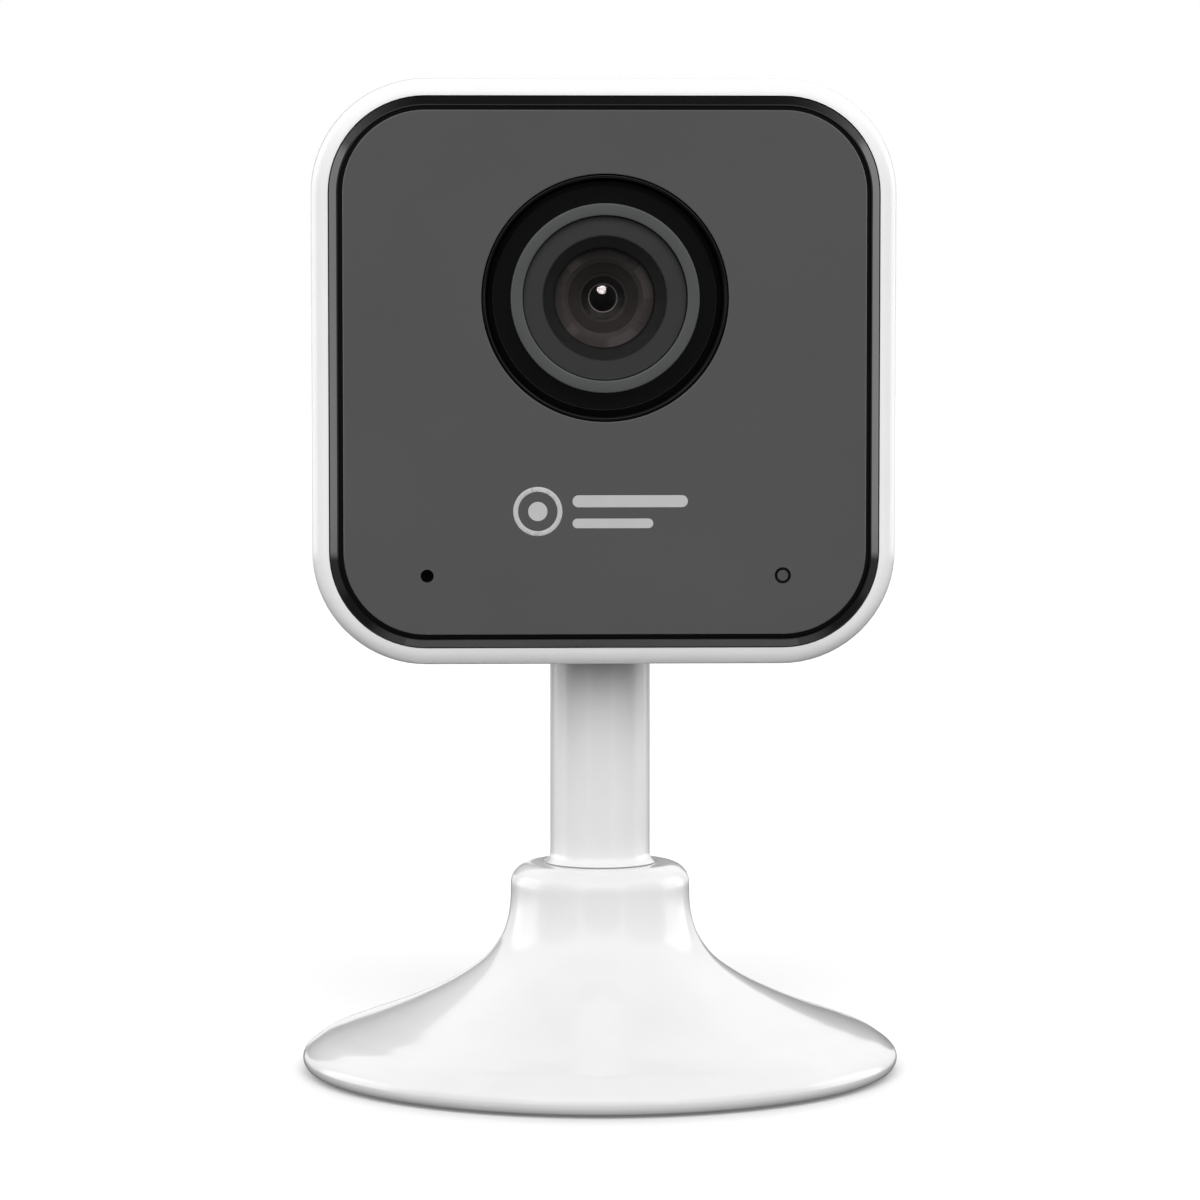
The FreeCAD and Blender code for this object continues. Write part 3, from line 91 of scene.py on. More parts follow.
def hermite(points, start_slope, end_slope, steps=8):
    """Smooth curve through the points, with the given directions at its two ends."""
    places = [Vector(point) for point in points]
    slopes = [Vector(start_slope)]
    for index in range(1, len(places) - 1):
        before = places[index] - places[index - 1]
        after = places[index + 1] - places[index]
        slopes.append((before.normalized() + after.normalized()).normalized())
    slopes.append(Vector(end_slope))
    result = []
    for index in range(len(places) - 1):
        here, there = places[index], places[index + 1]
        span = (there - here).length
        for step in range(steps):
            u = step / steps
            bend = (here * (2 * u ** 3 - 3 * u ** 2 + 1) + slopes[index] * span * (u ** 3 - 2 * u ** 2 + u)
                    + there * (3 * u ** 2 - 2 * u ** 3) + slopes[index + 1] * span * (u ** 3 - u ** 2))
            result.append((bend.x, bend.y))
    result.append(tuple(places[-1]))
    return result


# ---------------------------------------------------------------- meshes

def circle_loop(centre, radius, depth, axis, count):
    """Ring of points about a line along Z, or about a line along Y with the lens side in front."""
    loop = []
    for index in range(count):
        turn = 2 * math.pi * (index + 0.5) / count
        across, up = radius * math.cos(turn), radius * math.sin(turn)
        if axis == "z":
            loop.append(Vector((centre[0] + across, centre[1] + up, depth)))
        else:
            loop.append(Vector((centre[0] + across, depth, centre[2] + up)))
    return loop


CORNER_STEPS, SIDE_STEPS = 18, 12
SQUARE_COUNT = 4 * (CORNER_STEPS + SIDE_STEPS)


def square_loop(centre_z, half, corner_centre, depth):
    """Rounded square facing the lens side; its corners share their centres whatever the size."""
    radius = max(half - corner_centre, 0.02 * MM)
    inner = half - radius
    loop = []
    for quarter in range(4):
        turn = math.pi / 2 * quarter
        spin = Matrix.Rotation(turn, 2)
        for step in range(SIDE_STEPS):
            flat = Vector((half, -inner + 2 * inner * step / SIDE_STEPS))
            loop.append(spin @ flat)
        for step in range(CORNER_STEPS):
            angle = math.pi / 2 * step / CORNER_STEPS
            loop.append(spin @ Vector((inner + radius * math.cos(angle), inner + radius * math.sin(angle))))
    return [Vector((point.x, depth, centre_z + point.y)) for point in loop]


def skin(loops, closed=True):
    """Mesh that joins loops of equal length; closed joins the last to the first, or else both are capped."""
    mesh = bmesh.new()
    rows = [[mesh.verts.new(point) for point in loop] for loop in loops]
    count = len(rows[0])
    pairs = list(zip(rows, rows[1:])) + ([(rows[-1], rows[0])] if closed else [])
    for low, high in pairs:
        for index in range(count):
            after = (index + 1) % count
            mesh.faces.new((low[index], low[after], high[after], high[index]))
    if not closed:
        mesh.faces.new(rows[0][::-1])
        mesh.faces.new(rows[-1])
    return mesh


def lathe(profile, centre, axis="z", count=192):
    """Turned mesh; profile holds (radius, height) points round a closed outline."""
    mesh = skin([circle_loop(centre, max(radius, 1e-6), height, axis, count) for radius, height in profile])
    bmesh.ops.remove_doubles(mesh, verts=mesh.verts, dist=4e-6)
    bmesh.ops.dissolve_degenerate(mesh, edges=mesh.edges, dist=1e-6)
    return mesh


def box_mesh(low, high, bevel=0.0, steps=3):
    """Block between two corners, its edges rounded by bevel."""
    mesh = bmesh.new()
    bmesh.ops.create_cube(mesh, size=1.0)
    for vert in mesh.verts:
        vert.co = Vector([low[axis] if vert.co[axis] < 0 else high[axis] for axis in range(3)])
    if bevel:
        bmesh.ops.bevel(mesh, geom=mesh.edges, offset=bevel, segments=steps, profile=0.5, affect="EDGES")
    return mesh


def place(name, mesh, body, material, replaced=(), crease=32):
    """Turn a bmesh into a named piece that rides on a body."""
    bmesh.ops.recalc_face_normals(mesh, faces=mesh.faces)
    data = bpy.data.meshes.new(name)
    mesh.to_mesh(data)
    mesh.free()
    piece = bpy.data.objects.new(name, data)
    COLLECTION.objects.link(piece)
    finish_mesh(piece, crease)
    data.materials.append(material)
    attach(piece, body)
    if replaced:
        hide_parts(*replaced)
    return piece


def finish_mesh(piece, crease):
    """Smooth shading, with edges sharper than crease degrees kept sharp."""
    piece.data.shade_smooth()
    piece.data.set_sharp_from_angle(angle=math.radians(crease))
    weighted = piece.modifiers.new("even_shading", "WEIGHTED_NORMAL")
    weighted.keep_sharp = True
    weighted.weight = 60


def loose(name, mesh):
    """Helper object for boolean work, deleted after use."""
    bmesh.ops.recalc_face_normals(mesh, faces=mesh.faces)
    data = bpy.data.meshes.new(name)
    mesh.to_mesh(data)
    mesh.free()
    helper = bpy.data.objects.new(name, data)
    COLLECTION.objects.link(helper)
    return helper


def carve(target, tools, operation="DIFFERENCE"):
    """Apply boolean tools to a helper and hand back its mesh data inside the same object."""
    for tool in tools:
        step = target.modifiers.new(tool.name, "BOOLEAN")
        step.operation = operation
        step.solver = "EXACT"
        step.object = tool
    bpy.context.view_layer.update()
    graph = bpy.context.evaluated_depsgraph_get()
    result = bpy.data.meshes.new_from_object(target.evaluated_get(graph))
    target.modifiers.clear()
    target.data = result
    for tool in tools:
        bpy.data.objects.remove(tool)
    return target


def to_bmesh(helper):
    """The helper's mesh, ready for place(); the helper goes."""
    mesh = bmesh.new()
    mesh.from_mesh(helper.data)
    bpy.data.objects.remove(helper)
    return mesh


def drill(centre, radius, depths, count=48, name="drill"):
    """Cylinder along Y, for cutting a hole."""
    loops = [circle_loop(centre, radius, depth, "y", count) for depth in depths]
    return loose(name, skin(loops, closed=False))


# ---------------------------------------------------------------- materials

def surface(name, colour, roughness, metallic=0.0, coat=0.0, vary=0.06, grain=900.0, bump=0.02,
            rough_vary=0.04, stretch=(1, 1, 1), fleck=None):
    """Plastic, metal or rubber: fine grain in the bump, slow change in colour and gloss."""
    made = bpy.data.materials.new(name)
    made.use_nodes = True
    tree = made.node_tree
    shader = tree.nodes["Principled BSDF"]
    shader.inputs["Metallic"].default_value = metallic
    shader.inputs["Coat Weight"].default_value = coat
    shader.inputs["Coat Roughness"].default_value = 0.05

    def node(kind, **values):
        item = tree.nodes.new(kind)
        for key, value in values.items():
            item.inputs[key].default_value = value
        return item

    place_in = tree.nodes.new("ShaderNodeTexCoord")
    spread = node("ShaderNodeMapping", Scale=stretch)
    tree.links.new(place_in.outputs["Object"], spread.inputs["Vector"])
    slow = node("ShaderNodeTexNoise", Scale=grain * 0.12, Detail=4.0, Roughness=0.55)
    fine = node("ShaderNodeTexNoise", Scale=grain, Detail=3.0, Roughness=0.6)
    for noise in (slow, fine):
        tree.links.new(spread.outputs["Vector"], noise.inputs["Vector"])
    tones = tree.nodes.new("ShaderNodeValToRGB")
    dark = [channel * (1 - vary) for channel in colour]
    light = [min(channel * (1 + vary), 1.0) for channel in colour]
    tones.color_ramp.elements[0].position, tones.color_ramp.elements[1].position = 0.3, 0.7
    tones.color_ramp.elements[0].color = (*dark, 1)
    tones.color_ramp.elements[1].color = (*light, 1)
    tree.links.new(slow.outputs["Fac"], tones.inputs["Fac"])
    base = tones.outputs["Color"]
    if fleck:
        spots = node("ShaderNodeTexVoronoi", Scale=grain * 0.6)
        tree.links.new(spread.outputs["Vector"], spots.inputs["Vector"])
        mask = tree.nodes.new("ShaderNodeValToRGB")
        mask.color_ramp.elements[0].position, mask.color_ramp.elements[1].position = 0.06, 0.12
        mask.color_ramp.elements[0].color = (1, 1, 1, 1)
        mask.color_ramp.elements[1].color = (0, 0, 0, 1)
        tree.links.new(spots.outputs["Distance"], mask.inputs["Fac"])
        blend = tree.nodes.new("ShaderNodeMix")
        blend.data_type = "RGBA"
        blend.inputs["B"].default_value = (*fleck, 1)
        tree.links.new(mask.outputs["Color"], blend.inputs["Factor"])
        tree.links.new(base, blend.inputs["A"])
        base = blend.outputs["Result"]
    tree.links.new(base, shader.inputs["Base Color"])
    gloss = node("ShaderNodeMapRange")
    gloss.inputs["To Min"].default_value = max(roughness - rough_vary, 0.01)
    gloss.inputs["To Max"].default_value = roughness + rough_vary
    tree.links.new(slow.outputs["Fac"], gloss.inputs["Value"])
    tree.links.new(gloss.outputs["Result"], shader.inputs["Roughness"])
    relief = node("ShaderNodeBump", Strength=bump, Distance=0.0002)
    tree.links.new(fine.outputs["Fac"], relief.inputs["Height"])
    tree.links.new(relief.outputs["Normal"], shader.inputs["Normal"])
    return made


def clear_surface(name, tint, ior=1.45):
    """Thin coated glass: lets light straight through and mirrors a little of what is in front."""
    made = bpy.data.materials.new(name)
    made.use_nodes = True
    tree = made.node_tree
    tree.nodes.remove(tree.nodes["Principled BSDF"])
    through = tree.nodes.new("ShaderNodeBsdfTransparent")
    mirror = tree.nodes.new("ShaderNodeBsdfGlossy")
    share = tree.nodes.new("ShaderNodeFresnel")
    share.inputs["IOR"].default_value = ior
    mix = tree.nodes.new("ShaderNodeMixShader")
    tree.links.new(share.outputs["Fac"], mix.inputs["Fac"])
    tree.links.new(through.outputs["BSDF"], mix.inputs[1])
    tree.links.new(mirror.outputs["BSDF"], mix.inputs[2])
    tree.links.new(mix.outputs["Shader"], tree.nodes["Material Output"].inputs["Surface"])
    place_in = tree.nodes.new("ShaderNodeTexCoord")
    cloud = tree.nodes.new("ShaderNodeTexNoise")
    cloud.inputs["Scale"].default_value = 260.0
    tree.links.new(place_in.outputs["Object"], cloud.inputs["Vector"])
    tones = tree.nodes.new("ShaderNodeValToRGB")
    tones.color_ramp.elements[0].color = (*[channel * 0.97 for channel in tint], 1)
    tones.color_ramp.elements[1].color = (*tint, 1)
    tree.links.new(cloud.outputs["Fac"], tones.inputs["Fac"])
    tree.links.new(tones.outputs["Color"], through.inputs["Color"])
    smear = tree.nodes.new("ShaderNodeMapRange")
    smear.inputs["To Min"].default_value, smear.inputs["To Max"].default_value = 0.02, 0.05
    tree.links.new(cloud.outputs["Fac"], smear.inputs["Value"])
    tree.links.new(smear.outputs["Result"], mirror.inputs["Roughness"])
    return made


def board_surface(name):
    """Solder mask over tracks: a brick pattern of thin lighter lines on green."""
    made = surface(name, (0.012, 0.11, 0.055), 0.32, vary=0.1, grain=700.0, bump=0.05)
    tree = made.node_tree
    shader = tree.nodes["Principled BSDF"]
    coordinates = tree.nodes.new("ShaderNodeTexCoord")
    tracks = tree.nodes.new("ShaderNodeTexBrick")
    tracks.inputs["Color1"].default_value = (0.010, 0.10, 0.05, 1)
    tracks.inputs["Color2"].default_value = (0.012, 0.125, 0.062, 1)
    tracks.inputs["Mortar"].default_value = (0.05, 0.22, 0.12, 1)
    tracks.inputs["Scale"].default_value = 420.0
    tracks.inputs["Mortar Size"].default_value = 0.03
    turned = tree.nodes.new("ShaderNodeMapping")
    turned.inputs["Rotation"].default_value = (math.pi / 2, 0, 0)
    tree.links.new(coordinates.outputs["Object"], turned.inputs["Vector"])
    tree.links.new(turned.outputs["Vector"], tracks.inputs["Vector"])
    tree.links.new(tracks.outputs["Color"], shader.inputs["Base Color"])
    return made


WHITE = surface("white_gloss", (0.75, 0.75, 0.75), 0.12, coat=0.25, vary=0.012, grain=1400.0, bump=0.012)
# The shell's white is lighter than the base's and the stalk's, though all three are one white plastic:
# painted light, for the brighter light on the head's rims.
LIT_WHITE_SHELL = surface("white_shell", (0.86, 0.86, 0.86), 0.12, coat=0.25, vary=0.012, grain=1400.0,
                      bump=0.012)
WHITE_STALK = surface("white_stalk", (0.75, 0.75, 0.75), 0.13, coat=0.35, vary=0.012, grain=1400.0,
                      bump=0.010)
WHITE_MATT = surface("white_matt", (0.74, 0.74, 0.735), 0.48, vary=0.02, grain=2600.0, bump=0.10)
FACE = surface("face_acrylic", (0.086, 0.086, 0.086), 0.10, coat=0.2, vary=0.03, grain=500.0, bump=0.004,
               rough_vary=0.015)
BEZEL = surface("bezel_grey", (0.078, 0.080, 0.080), 0.22, vary=0.04, grain=1600.0, bump=0.02)
FRAME_BLACK = surface("frame_black", (0.0025, 0.0025, 0.003), 0.10, coat=0.2, vary=0.08, grain=1200.0,
                      bump=0.004)
RECESS = surface("recess_black", (0.0022, 0.0022, 0.0024), 0.10, vary=0.12, grain=2600.0, bump=0.03)
SATIN = surface("satin_black", (0.004, 0.004, 0.004), 0.38, vary=0.12, grain=2600.0, bump=0.06)
MASK = surface("mask_grey", (0.046, 0.046, 0.047), 0.5, vary=0.04, grain=2600.0, bump=0.03)
HOOD = surface("hood_black", (0.026, 0.026, 0.026), 0.45, vary=0.06, grain=2600.0, bump=0.05)
# The spacer's and the stop's brown tones are painted reflection: the brownish sheen of the coated front
# glass laid into their colour.
SPACER = surface("spacer_painted_reflection", (0.120, 0.113, 0.111), 0.42, vary=0.10, grain=500.0, bump=0.03)
FUNNEL = surface("funnel_painted_reflection", (0.052, 0.048, 0.048), 0.22, vary=0.14, grain=700.0, bump=0.03)
# The aperture rim's light grey is painted highlight, for the light that the edge of the stop's opening
# catches.
APERTURE_RIM_HIGHLIGHT = surface("aperture_rim_painted_highlight", (0.42, 0.42, 0.42), 0.40, vary=0.04, grain=1600.0, bump=0.02)
PRINT = surface("print_grey", (0.50, 0.50, 0.50), 0.45, vary=0.03, grain=3200.0, bump=0.03)
RUBBER = surface("rubber_grey", (0.085, 0.085, 0.088), 0.75, vary=0.10, grain=2200.0, bump=0.22)
RUBBER_BLACK = surface("rubber_black", (0.015, 0.015, 0.015), 0.7, vary=0.1, grain=2200.0, bump=0.2)
LABEL = surface("label_film", (0.56, 0.57, 0.58), 0.35, vary=0.03, grain=900.0, bump=0.03)
STEEL = surface("zinc_steel", (0.58, 0.59, 0.60), 0.30, metallic=1.0, vary=0.06, grain=900.0, bump=0.05,
                stretch=(1, 1, 6))
BLACK_STEEL = surface("black_steel", (0.03, 0.03, 0.032), 0.35, metallic=0.8, vary=0.1, grain=1400.0,
                      bump=0.05)
NICKEL = surface("nickel", (0.66, 0.65, 0.62), 0.16, metallic=1.0, vary=0.03, grain=600.0, bump=0.02)
ALUMINIUM = surface("aluminium", (0.76, 0.77, 0.78), 0.34, metallic=1.0, vary=0.04, grain=1200.0,
                    bump=0.06, stretch=(1, 1, 8))
CHIP = surface("chip_black", (0.018, 0.018, 0.019), 0.5, vary=0.12, grain=2600.0, bump=0.15)
BOARD = board_surface("board_green")
COPPER = surface("copper_film", (0.50, 0.22, 0.08), 0.4, vary=0.08, grain=1100.0, bump=0.05)
PAD = surface("thermal_pad", (0.33, 0.38, 0.44), 0.85, vary=0.08, grain=1800.0, bump=0.2,
              fleck=(0.5, 0.55, 0.6))
LAMP = surface("smoked_resin", (0.06, 0.03, 0.035), 0.12, vary=0.05, grain=600.0, bump=0.01, coat=0.3)
RESIN = surface("pale_resin", (0.62, 0.60, 0.46), 0.3, vary=0.05, grain=900.0, bump=0.04)
PIPE = surface("light_pipe", (0.075, 0.076, 0.076), 0.2, vary=0.05, grain=900.0, bump=0.02, coat=0.3)
CONE = surface("paper_cone", (0.03, 0.03, 0.03), 0.85, vary=0.2, grain=1600.0, bump=0.3,
               fleck=(0.06, 0.06, 0.055))
CLEAR = clear_surface("cover_glass", (0.97, 0.97, 0.97), 1.3)
COATED = clear_surface("coated_glass", (0.93, 0.905, 0.90), 1.15)
# The rear glass is tinted nearly black and passes about a twentieth of the light: painted shade, for the
# darkness inside the lens that fills the pupil.
SHADED_REAR_GLASS = clear_surface("rear_glass_painted_shade", (0.05, 0.048, 0.055), 1.6)
FILTER = clear_surface("filter_glass", (0.55, 0.80, 0.78), 1.5)

NODE_SURFACES = {
    "base_plate": WHITE_MATT, "foot_pad": RUBBER, "rating_label": LABEL, "base_weight": STEEL,
    "base_magnet": NICKEL, "base_screws": STEEL, "swivel_ring": STEEL, "swivel_washer": STEEL,
    "housing_screws": BLACK_STEEL, "lens_barrel": SATIN, "lens_holder": SATIN,
    "lens_holder_screws": BLACK_STEEL, "lens_rear": SHADED_REAR_GLASS, "ir_cut_filter": FILTER,
    "image_sensor": CHIP, "main_board": BOARD, "board_screws": BLACK_STEEL, "processor": CHIP,
    "memory_chips": CHIP, "radio_module": NICKEL, "antenna": COPPER, "thermal_pad": PAD,
    "heat_plate": ALUMINIUM, "lamp_board": BOARD, "infrared_lamps": LAMP, "mic_board": BOARD,
    "mic_boot": RUBBER_BLACK, "microphone": RUBBER_BLACK, "light_board": BOARD, "status_light": RESIN,
    "light_pipe": PIPE, "board_header": CHIP, "power_board": BOARD, "usb_socket": NICKEL,
    "card_socket": STEEL, "button_switch": CHIP, "reset_button": WHITE_MATT, "speaker_frame": CHIP,
    "speaker_cone": CONE, "speaker_magnet": NICKEL, "hinge_pin": STEEL, "hinge_nut": STEEL,
    "hinge_spring": STEEL, "hinge_washers": RUBBER_BLACK, "hinge_plates": STEEL,
    "base_shell": WHITE, "rear_housing": LIT_WHITE_SHELL, "stalk": WHITE_STALK, "front_frame": FRAME_BLACK,
    "face_panel": FACE, "lens_surround": RECESS, "lens_bezel": BEZEL, "lens_cover": CLEAR,
    "lens_hood": HOOD, "lens_retainer": SATIN, "lens_front": COATED, "lens_spacer": SPACER,
    "aperture_stop": FUNNEL,
}


def dress_cad_nodes():
    for name, item in frame["nodes"].items():
        item.data.materials.clear()
        item.data.materials.append(NODE_SURFACES[name])


# ---------------------------------------------------------------- places taken from the frame

SHELL_LOW, SHELL_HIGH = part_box("rear_housing")
FACE_LOW, FACE_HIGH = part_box("face_panel")
FRAME_LOW, FRAME_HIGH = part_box("front_frame")
BASE_LOW, BASE_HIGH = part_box("base_shell")
STALK_LOW, STALK_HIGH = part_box("stalk")
SURROUND_LOW, SURROUND_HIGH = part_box("lens_surround")
BEZEL_LOW, BEZEL_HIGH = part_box("lens_bezel")
COVER_LOW, COVER_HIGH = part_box("lens_cover")

HEAD_HALF = (SHELL_HIGH[0] - SHELL_LOW[0]) / 2
HEAD_Z = (SHELL_HIGH[2] + SHELL_LOW[2]) / 2
HEAD_CORNER = 11.9 * MM
CORNER_CENTRE = HEAD_HALF - HEAD_CORNER
HEAD_WALL = 1.8 * MM
LENS = (0.0, 0.0, (BEZEL_HIGH[2] + BEZEL_LOW[2]) / 2)
RECESS_RADIUS = 12.83 * MM
HINGE_Z = frame["record"]["behaviour"]["joints"][1]["pos_m"][2]


def node_centre(name):
    """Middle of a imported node's box."""
    low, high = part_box(name)
    return [(low[axis] + high[axis]) / 2 for axis in range(3)]


# ---------------------------------------------------------------- base and stalk

FLARE = [(0.027, 0.754), (0.107, 0.596), (0.241, 0.470), (0.420, 0.355),
         (0.6205, 0.2525), (0.799, 0.174), (0.924, 0.1057)]


def build_base():
    """White base shell: collar, smooth flare and rounded rim, open underneath."""
    radius, top, foot = BASE_HIGH[0], BASE_HIGH[2], BASE_LOW[2]
    collar, collar_foot, collar_round = 9.6 * MM, 19.78 * MM, 2.18 * MM
    rim_height, rim_round = 1.52 * MM, 1.2 * MM
    wall, bore, roof = 2.0 * MM, 8.2 * MM, top - 2.84 * MM
    seat, seat_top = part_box("base_plate")[1][0] + 0.1 * MM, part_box("base_plate")[1][2]
    spigot = 3.65 * MM
    flare = [(collar + out * (radius - collar), rim_height + up * (collar_foot - rim_height))
             for out, up in FLARE]
    profile = [(spigot, roof), (spigot, top - 0.25 * MM), (spigot + 0.25 * MM, top)]
    profile += list(arc((collar - collar_round, top - collar_round), collar_round, 90, 0, 12))
    profile += hermite([(collar, collar_foot)] + flare + [(radius, rim_height)], (0, -1), (0, -1))
    profile += list(arc((radius - rim_round, foot + rim_round), rim_round, 0, -90, 8))
    profile += [(seat, foot), (seat, seat_top), (seat - 1.2 * MM, seat_top)]
    under = [(out, up - wall) for out, up in flare if out > bore + wall and up - wall > seat_top]
    profile += under[::-1] + [(bore, under[0][1] + wall), (bore, roof)]
    place("base_shell_visual", lathe(profile, (0, 0)), "base", WHITE, ("base_shell",))


def build_stalk():
    """Round stalk with its small foot flare, swivel spigot and flattened hinge knuckle."""
    foot = BASE_HIGH[2] + 0.05 * MM
    flare, radius, spigot, groove = STALK_HIGH[0], 5.34 * MM, 3.6 * MM, 2.9 * MM
    ring_low, ring_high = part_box("swivel_ring")[0][2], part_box("swivel_ring")[1][2]
    knuckle, knuckle_half, knuckle_foot = 5.3 * MM, 4.7 * MM, 50.4 * MM
    end, top = STALK_LOW[2], STALK_HIGH[2]
    profile = [(0, end), (spigot - 0.4 * MM, end), (spigot, end + 0.4 * MM), (spigot, ring_low),
               (groove, ring_low), (groove, ring_high), (spigot, ring_high), (spigot, foot),
               (flare - 0.08 * MM, foot), (flare, foot + 0.08 * MM)]
    profile += [(flare - 0.5 * MM * share, foot + 0.08 * MM + 0.42 * MM * share ** 1.4)
                for share in (0.25, 0.5, 0.75, 1.0)]
    profile += [(radius + 0.05 * MM, foot + 0.75 * MM), (radius, foot + 1.1 * MM)]
    post = knuckle_foot - 0.2 * MM - (foot + 1.1 * MM)
    profile += [(radius, foot + 1.1 * MM + post * step / 10) for step in range(1, 11)]
    profile += [(radius, knuckle_foot + (top - knuckle_foot) * step / 24) for step in range(25)]
    profile += [(radius * (1 - step / 14), top) for step in range(1, 15)]
    mesh = lathe(profile, (0, 0), count=160)
    for vert in mesh.verts:
        if vert.co.z > knuckle_foot - 0.01 * MM:
            vert.co.x = max(-knuckle_half, min(knuckle_half, vert.co.x))
        if vert.co.z > HINGE_Z:
            rise = math.sqrt(max(knuckle ** 2 - min(abs(vert.co.y), knuckle) ** 2, 0.0))
            vert.co.z = min(vert.co.z, HINGE_Z + rise)
            vert.co.y = max(-knuckle, min(knuckle, vert.co.y))
    bmesh.ops.remove_doubles(mesh, verts=mesh.verts, dist=3e-6)
    bmesh.ops.dissolve_degenerate(mesh, edges=mesh.edges, dist=1e-6)
    blank = loose("stalk_blank", mesh)
    pin, reach = 1.55 * MM, 8 * MM
    turns = [2 * math.pi * index / 48 for index in range(48)]
    loops = [[Vector((along, pin * math.cos(turn), HINGE_Z + pin * math.sin(turn))) for turn in turns]
             for along in (-reach, reach)]
    carve(blank, [loose("pin_bore", skin(loops, closed=False))])
    place("stalk_visual", to_bmesh(blank), "stand", WHITE_STALK, ("stalk",))


# ---------------------------------------------------------------- head

def head_loops(profile):
    """Rounded squares round the head's middle, one for each (half width, depth)."""
    return [square_loop(HEAD_Z, half, CORNER_CENTRE, depth) for half, depth in profile]


def build_shell():
    """White rear shell with its rounded back, hinge slot, socket, button hole and grille."""
    front, back = SHELL_LOW[1], SHELL_HIGH[1]
    fall, turn = 1.85 * MM, 9.5 * MM
    inner = HEAD_HALF - HEAD_WALL
    outer = [(HEAD_HALF - fall + 0.05 * MM, front)]
    outer += list(arc((HEAD_HALF - fall, front + fall), fall, -86, 0, 10))
    outer += [(HEAD_HALF, front + fall + share * (back - turn - front - fall)) for share in (0.03, 0.97)]
    outer += list(arc((HEAD_HALF - turn, back - turn), turn, 0, 90, 22))
    outer += [(HEAD_HALF - turn - 0.6 * MM, back)]
    solid = loose("shell_solid", skin(head_loops(outer), closed=False))
    lining = [(inner, front - 1 * MM), (inner, back - turn)]
    lining += list(arc((HEAD_HALF - turn, back - turn), turn - HEAD_WALL, 0, 90, 12))
    cavity = loose("shell_cavity", skin(head_loops(lining), closed=False))
    outer_copy = loose("shell_copy", skin(head_loops(outer), closed=False))
    slot_half, wall, roof = 5.75 * MM, 1.2 * MM, HINGE_Z + 6.0 * MM
    slot_front = -9.0 * MM
    channel = loose("channel", box_mesh((-slot_half - wall, slot_front - wall, SHELL_LOW[2] - 1 * MM),
                                        (slot_half + wall, back + 1 * MM, roof + wall)))
    carve(channel, [outer_copy], "INTERSECT")
    carve(solid, [cavity])
    carve(solid, [channel], "UNION")
    usb_low, usb_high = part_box("usb_socket")
    gap, margin = 0.1 * MM, 1.8 * MM
    tools = [
        loose("slot_tool", box_mesh((-slot_half, slot_front, SHELL_LOW[2] - 1 * MM),
                                    (slot_half, back + 1 * MM, roof))),
        loose("usb_tool", box_mesh((usb_low[0] - gap, usb_high[1] - 3 * MM, usb_low[2] - gap),
                                   (usb_high[0] + gap, back + 1 * MM, usb_high[2] + gap), 0.5 * MM)),
        loose("usb_recess", box_mesh((usb_low[0] - margin, usb_high[1], usb_low[2] - margin),
                                     (usb_high[0] + margin, back + 3 * MM, usb_high[2] + margin),
                                     1.0 * MM, 5)),
    ]
    wall_depths = (back - HEAD_WALL - 1 * MM, back + 1 * MM)
    tools.append(drill(node_centre("reset_button"), 1.7 * MM, wall_depths, name="button_tool"))
    card, half_gap, half_length = node_centre("card_socket"), 0.6 * MM, 6 * MM
    tools.append(loose("card_tool", box_mesh(
        (-HEAD_HALF - 1 * MM, card[1] - half_gap, card[2] - half_length),
        (-HEAD_HALF + HEAD_WALL + 1 * MM, card[1] + half_gap, card[2] + half_length), 0.3 * MM)))
    carve(solid, tools)
    speaker_z = node_centre("speaker_frame")[2]
    pitch, hole = 2.3 * MM, 0.55 * MM
    grille = [drill((0, 0, speaker_z), hole, wall_depths, 20, "grille_0")]
    for ring in (1, 2, 3):
        for index in range(6 * ring):
            angle = math.radians(60 * index / ring)
            centre = (ring * pitch * math.cos(angle), 0, speaker_z + ring * pitch * math.sin(angle))
            grille.append(drill(centre, hole, wall_depths, 20, f"grille_{ring}_{index}"))
    carve(solid, grille)
    # The shell's lighter white is painted light, for the brighter light on its rims.
    place("rear_housing_visual", to_bmesh(solid), "head", LIT_WHITE_SHELL, ("rear_housing",))


def build_frame():
    """Black front frame: sloping polished band round the face, and the floor behind it."""
    outer, back, front = FRAME_HIGH[0], FRAME_HIGH[1], FRAME_LOW[1]
    gap = 0.45 * MM
    face_half, floor = FACE_HIGH[0], FACE_HIGH[1]
    rim = SHELL_LOW[1]
    plate = 1.2 * MM
    edge = softened([(outer, back), (outer, rim), (face_half + gap, front + 0.06 * MM),
                     (face_half + gap, floor)], 0.14 * MM, closed=False)
    loops = head_loops(edge)
    loops += [circle_loop(LENS, RECESS_RADIUS + 0.1 * MM, depth, "y", SQUARE_COUNT)
              for depth in (floor, floor + plate)]
    loops = [align(loop) for loop in loops]
    loops += [align(loop) for loop in head_loops([(outer - 1.6 * MM, floor + plate),
                                                  (outer - 1.6 * MM, back)])]
    blank = loose("frame_blank", skin(loops))
    carve(blank, port_drills(floor - 1 * MM, floor + plate + 1 * MM))
    place("front_frame_visual", to_bmesh(blank), "head", FRAME_BLACK, ("front_frame",))


def align(loop):
    """Start each loop at its lowest right-hand point, so that joined loops do not twist."""
    middle = sum((point.z for point in loop)) / len(loop)
    turns = [math.atan2(point.z - middle, point.x) % (2 * math.pi) for point in loop]
    first = turns.index(min(turns))
    return loop[first:] + loop[:first]


def port_drills(front, back):
    """Cutting tools for the microphone's and the status light's holes."""
    return [drill(node_centre("microphone"), 0.68 * MM, (front, back), name="mic_drill"),
            drill(node_centre("light_pipe"), 0.85 * MM, (front, back), name="light_drill")]


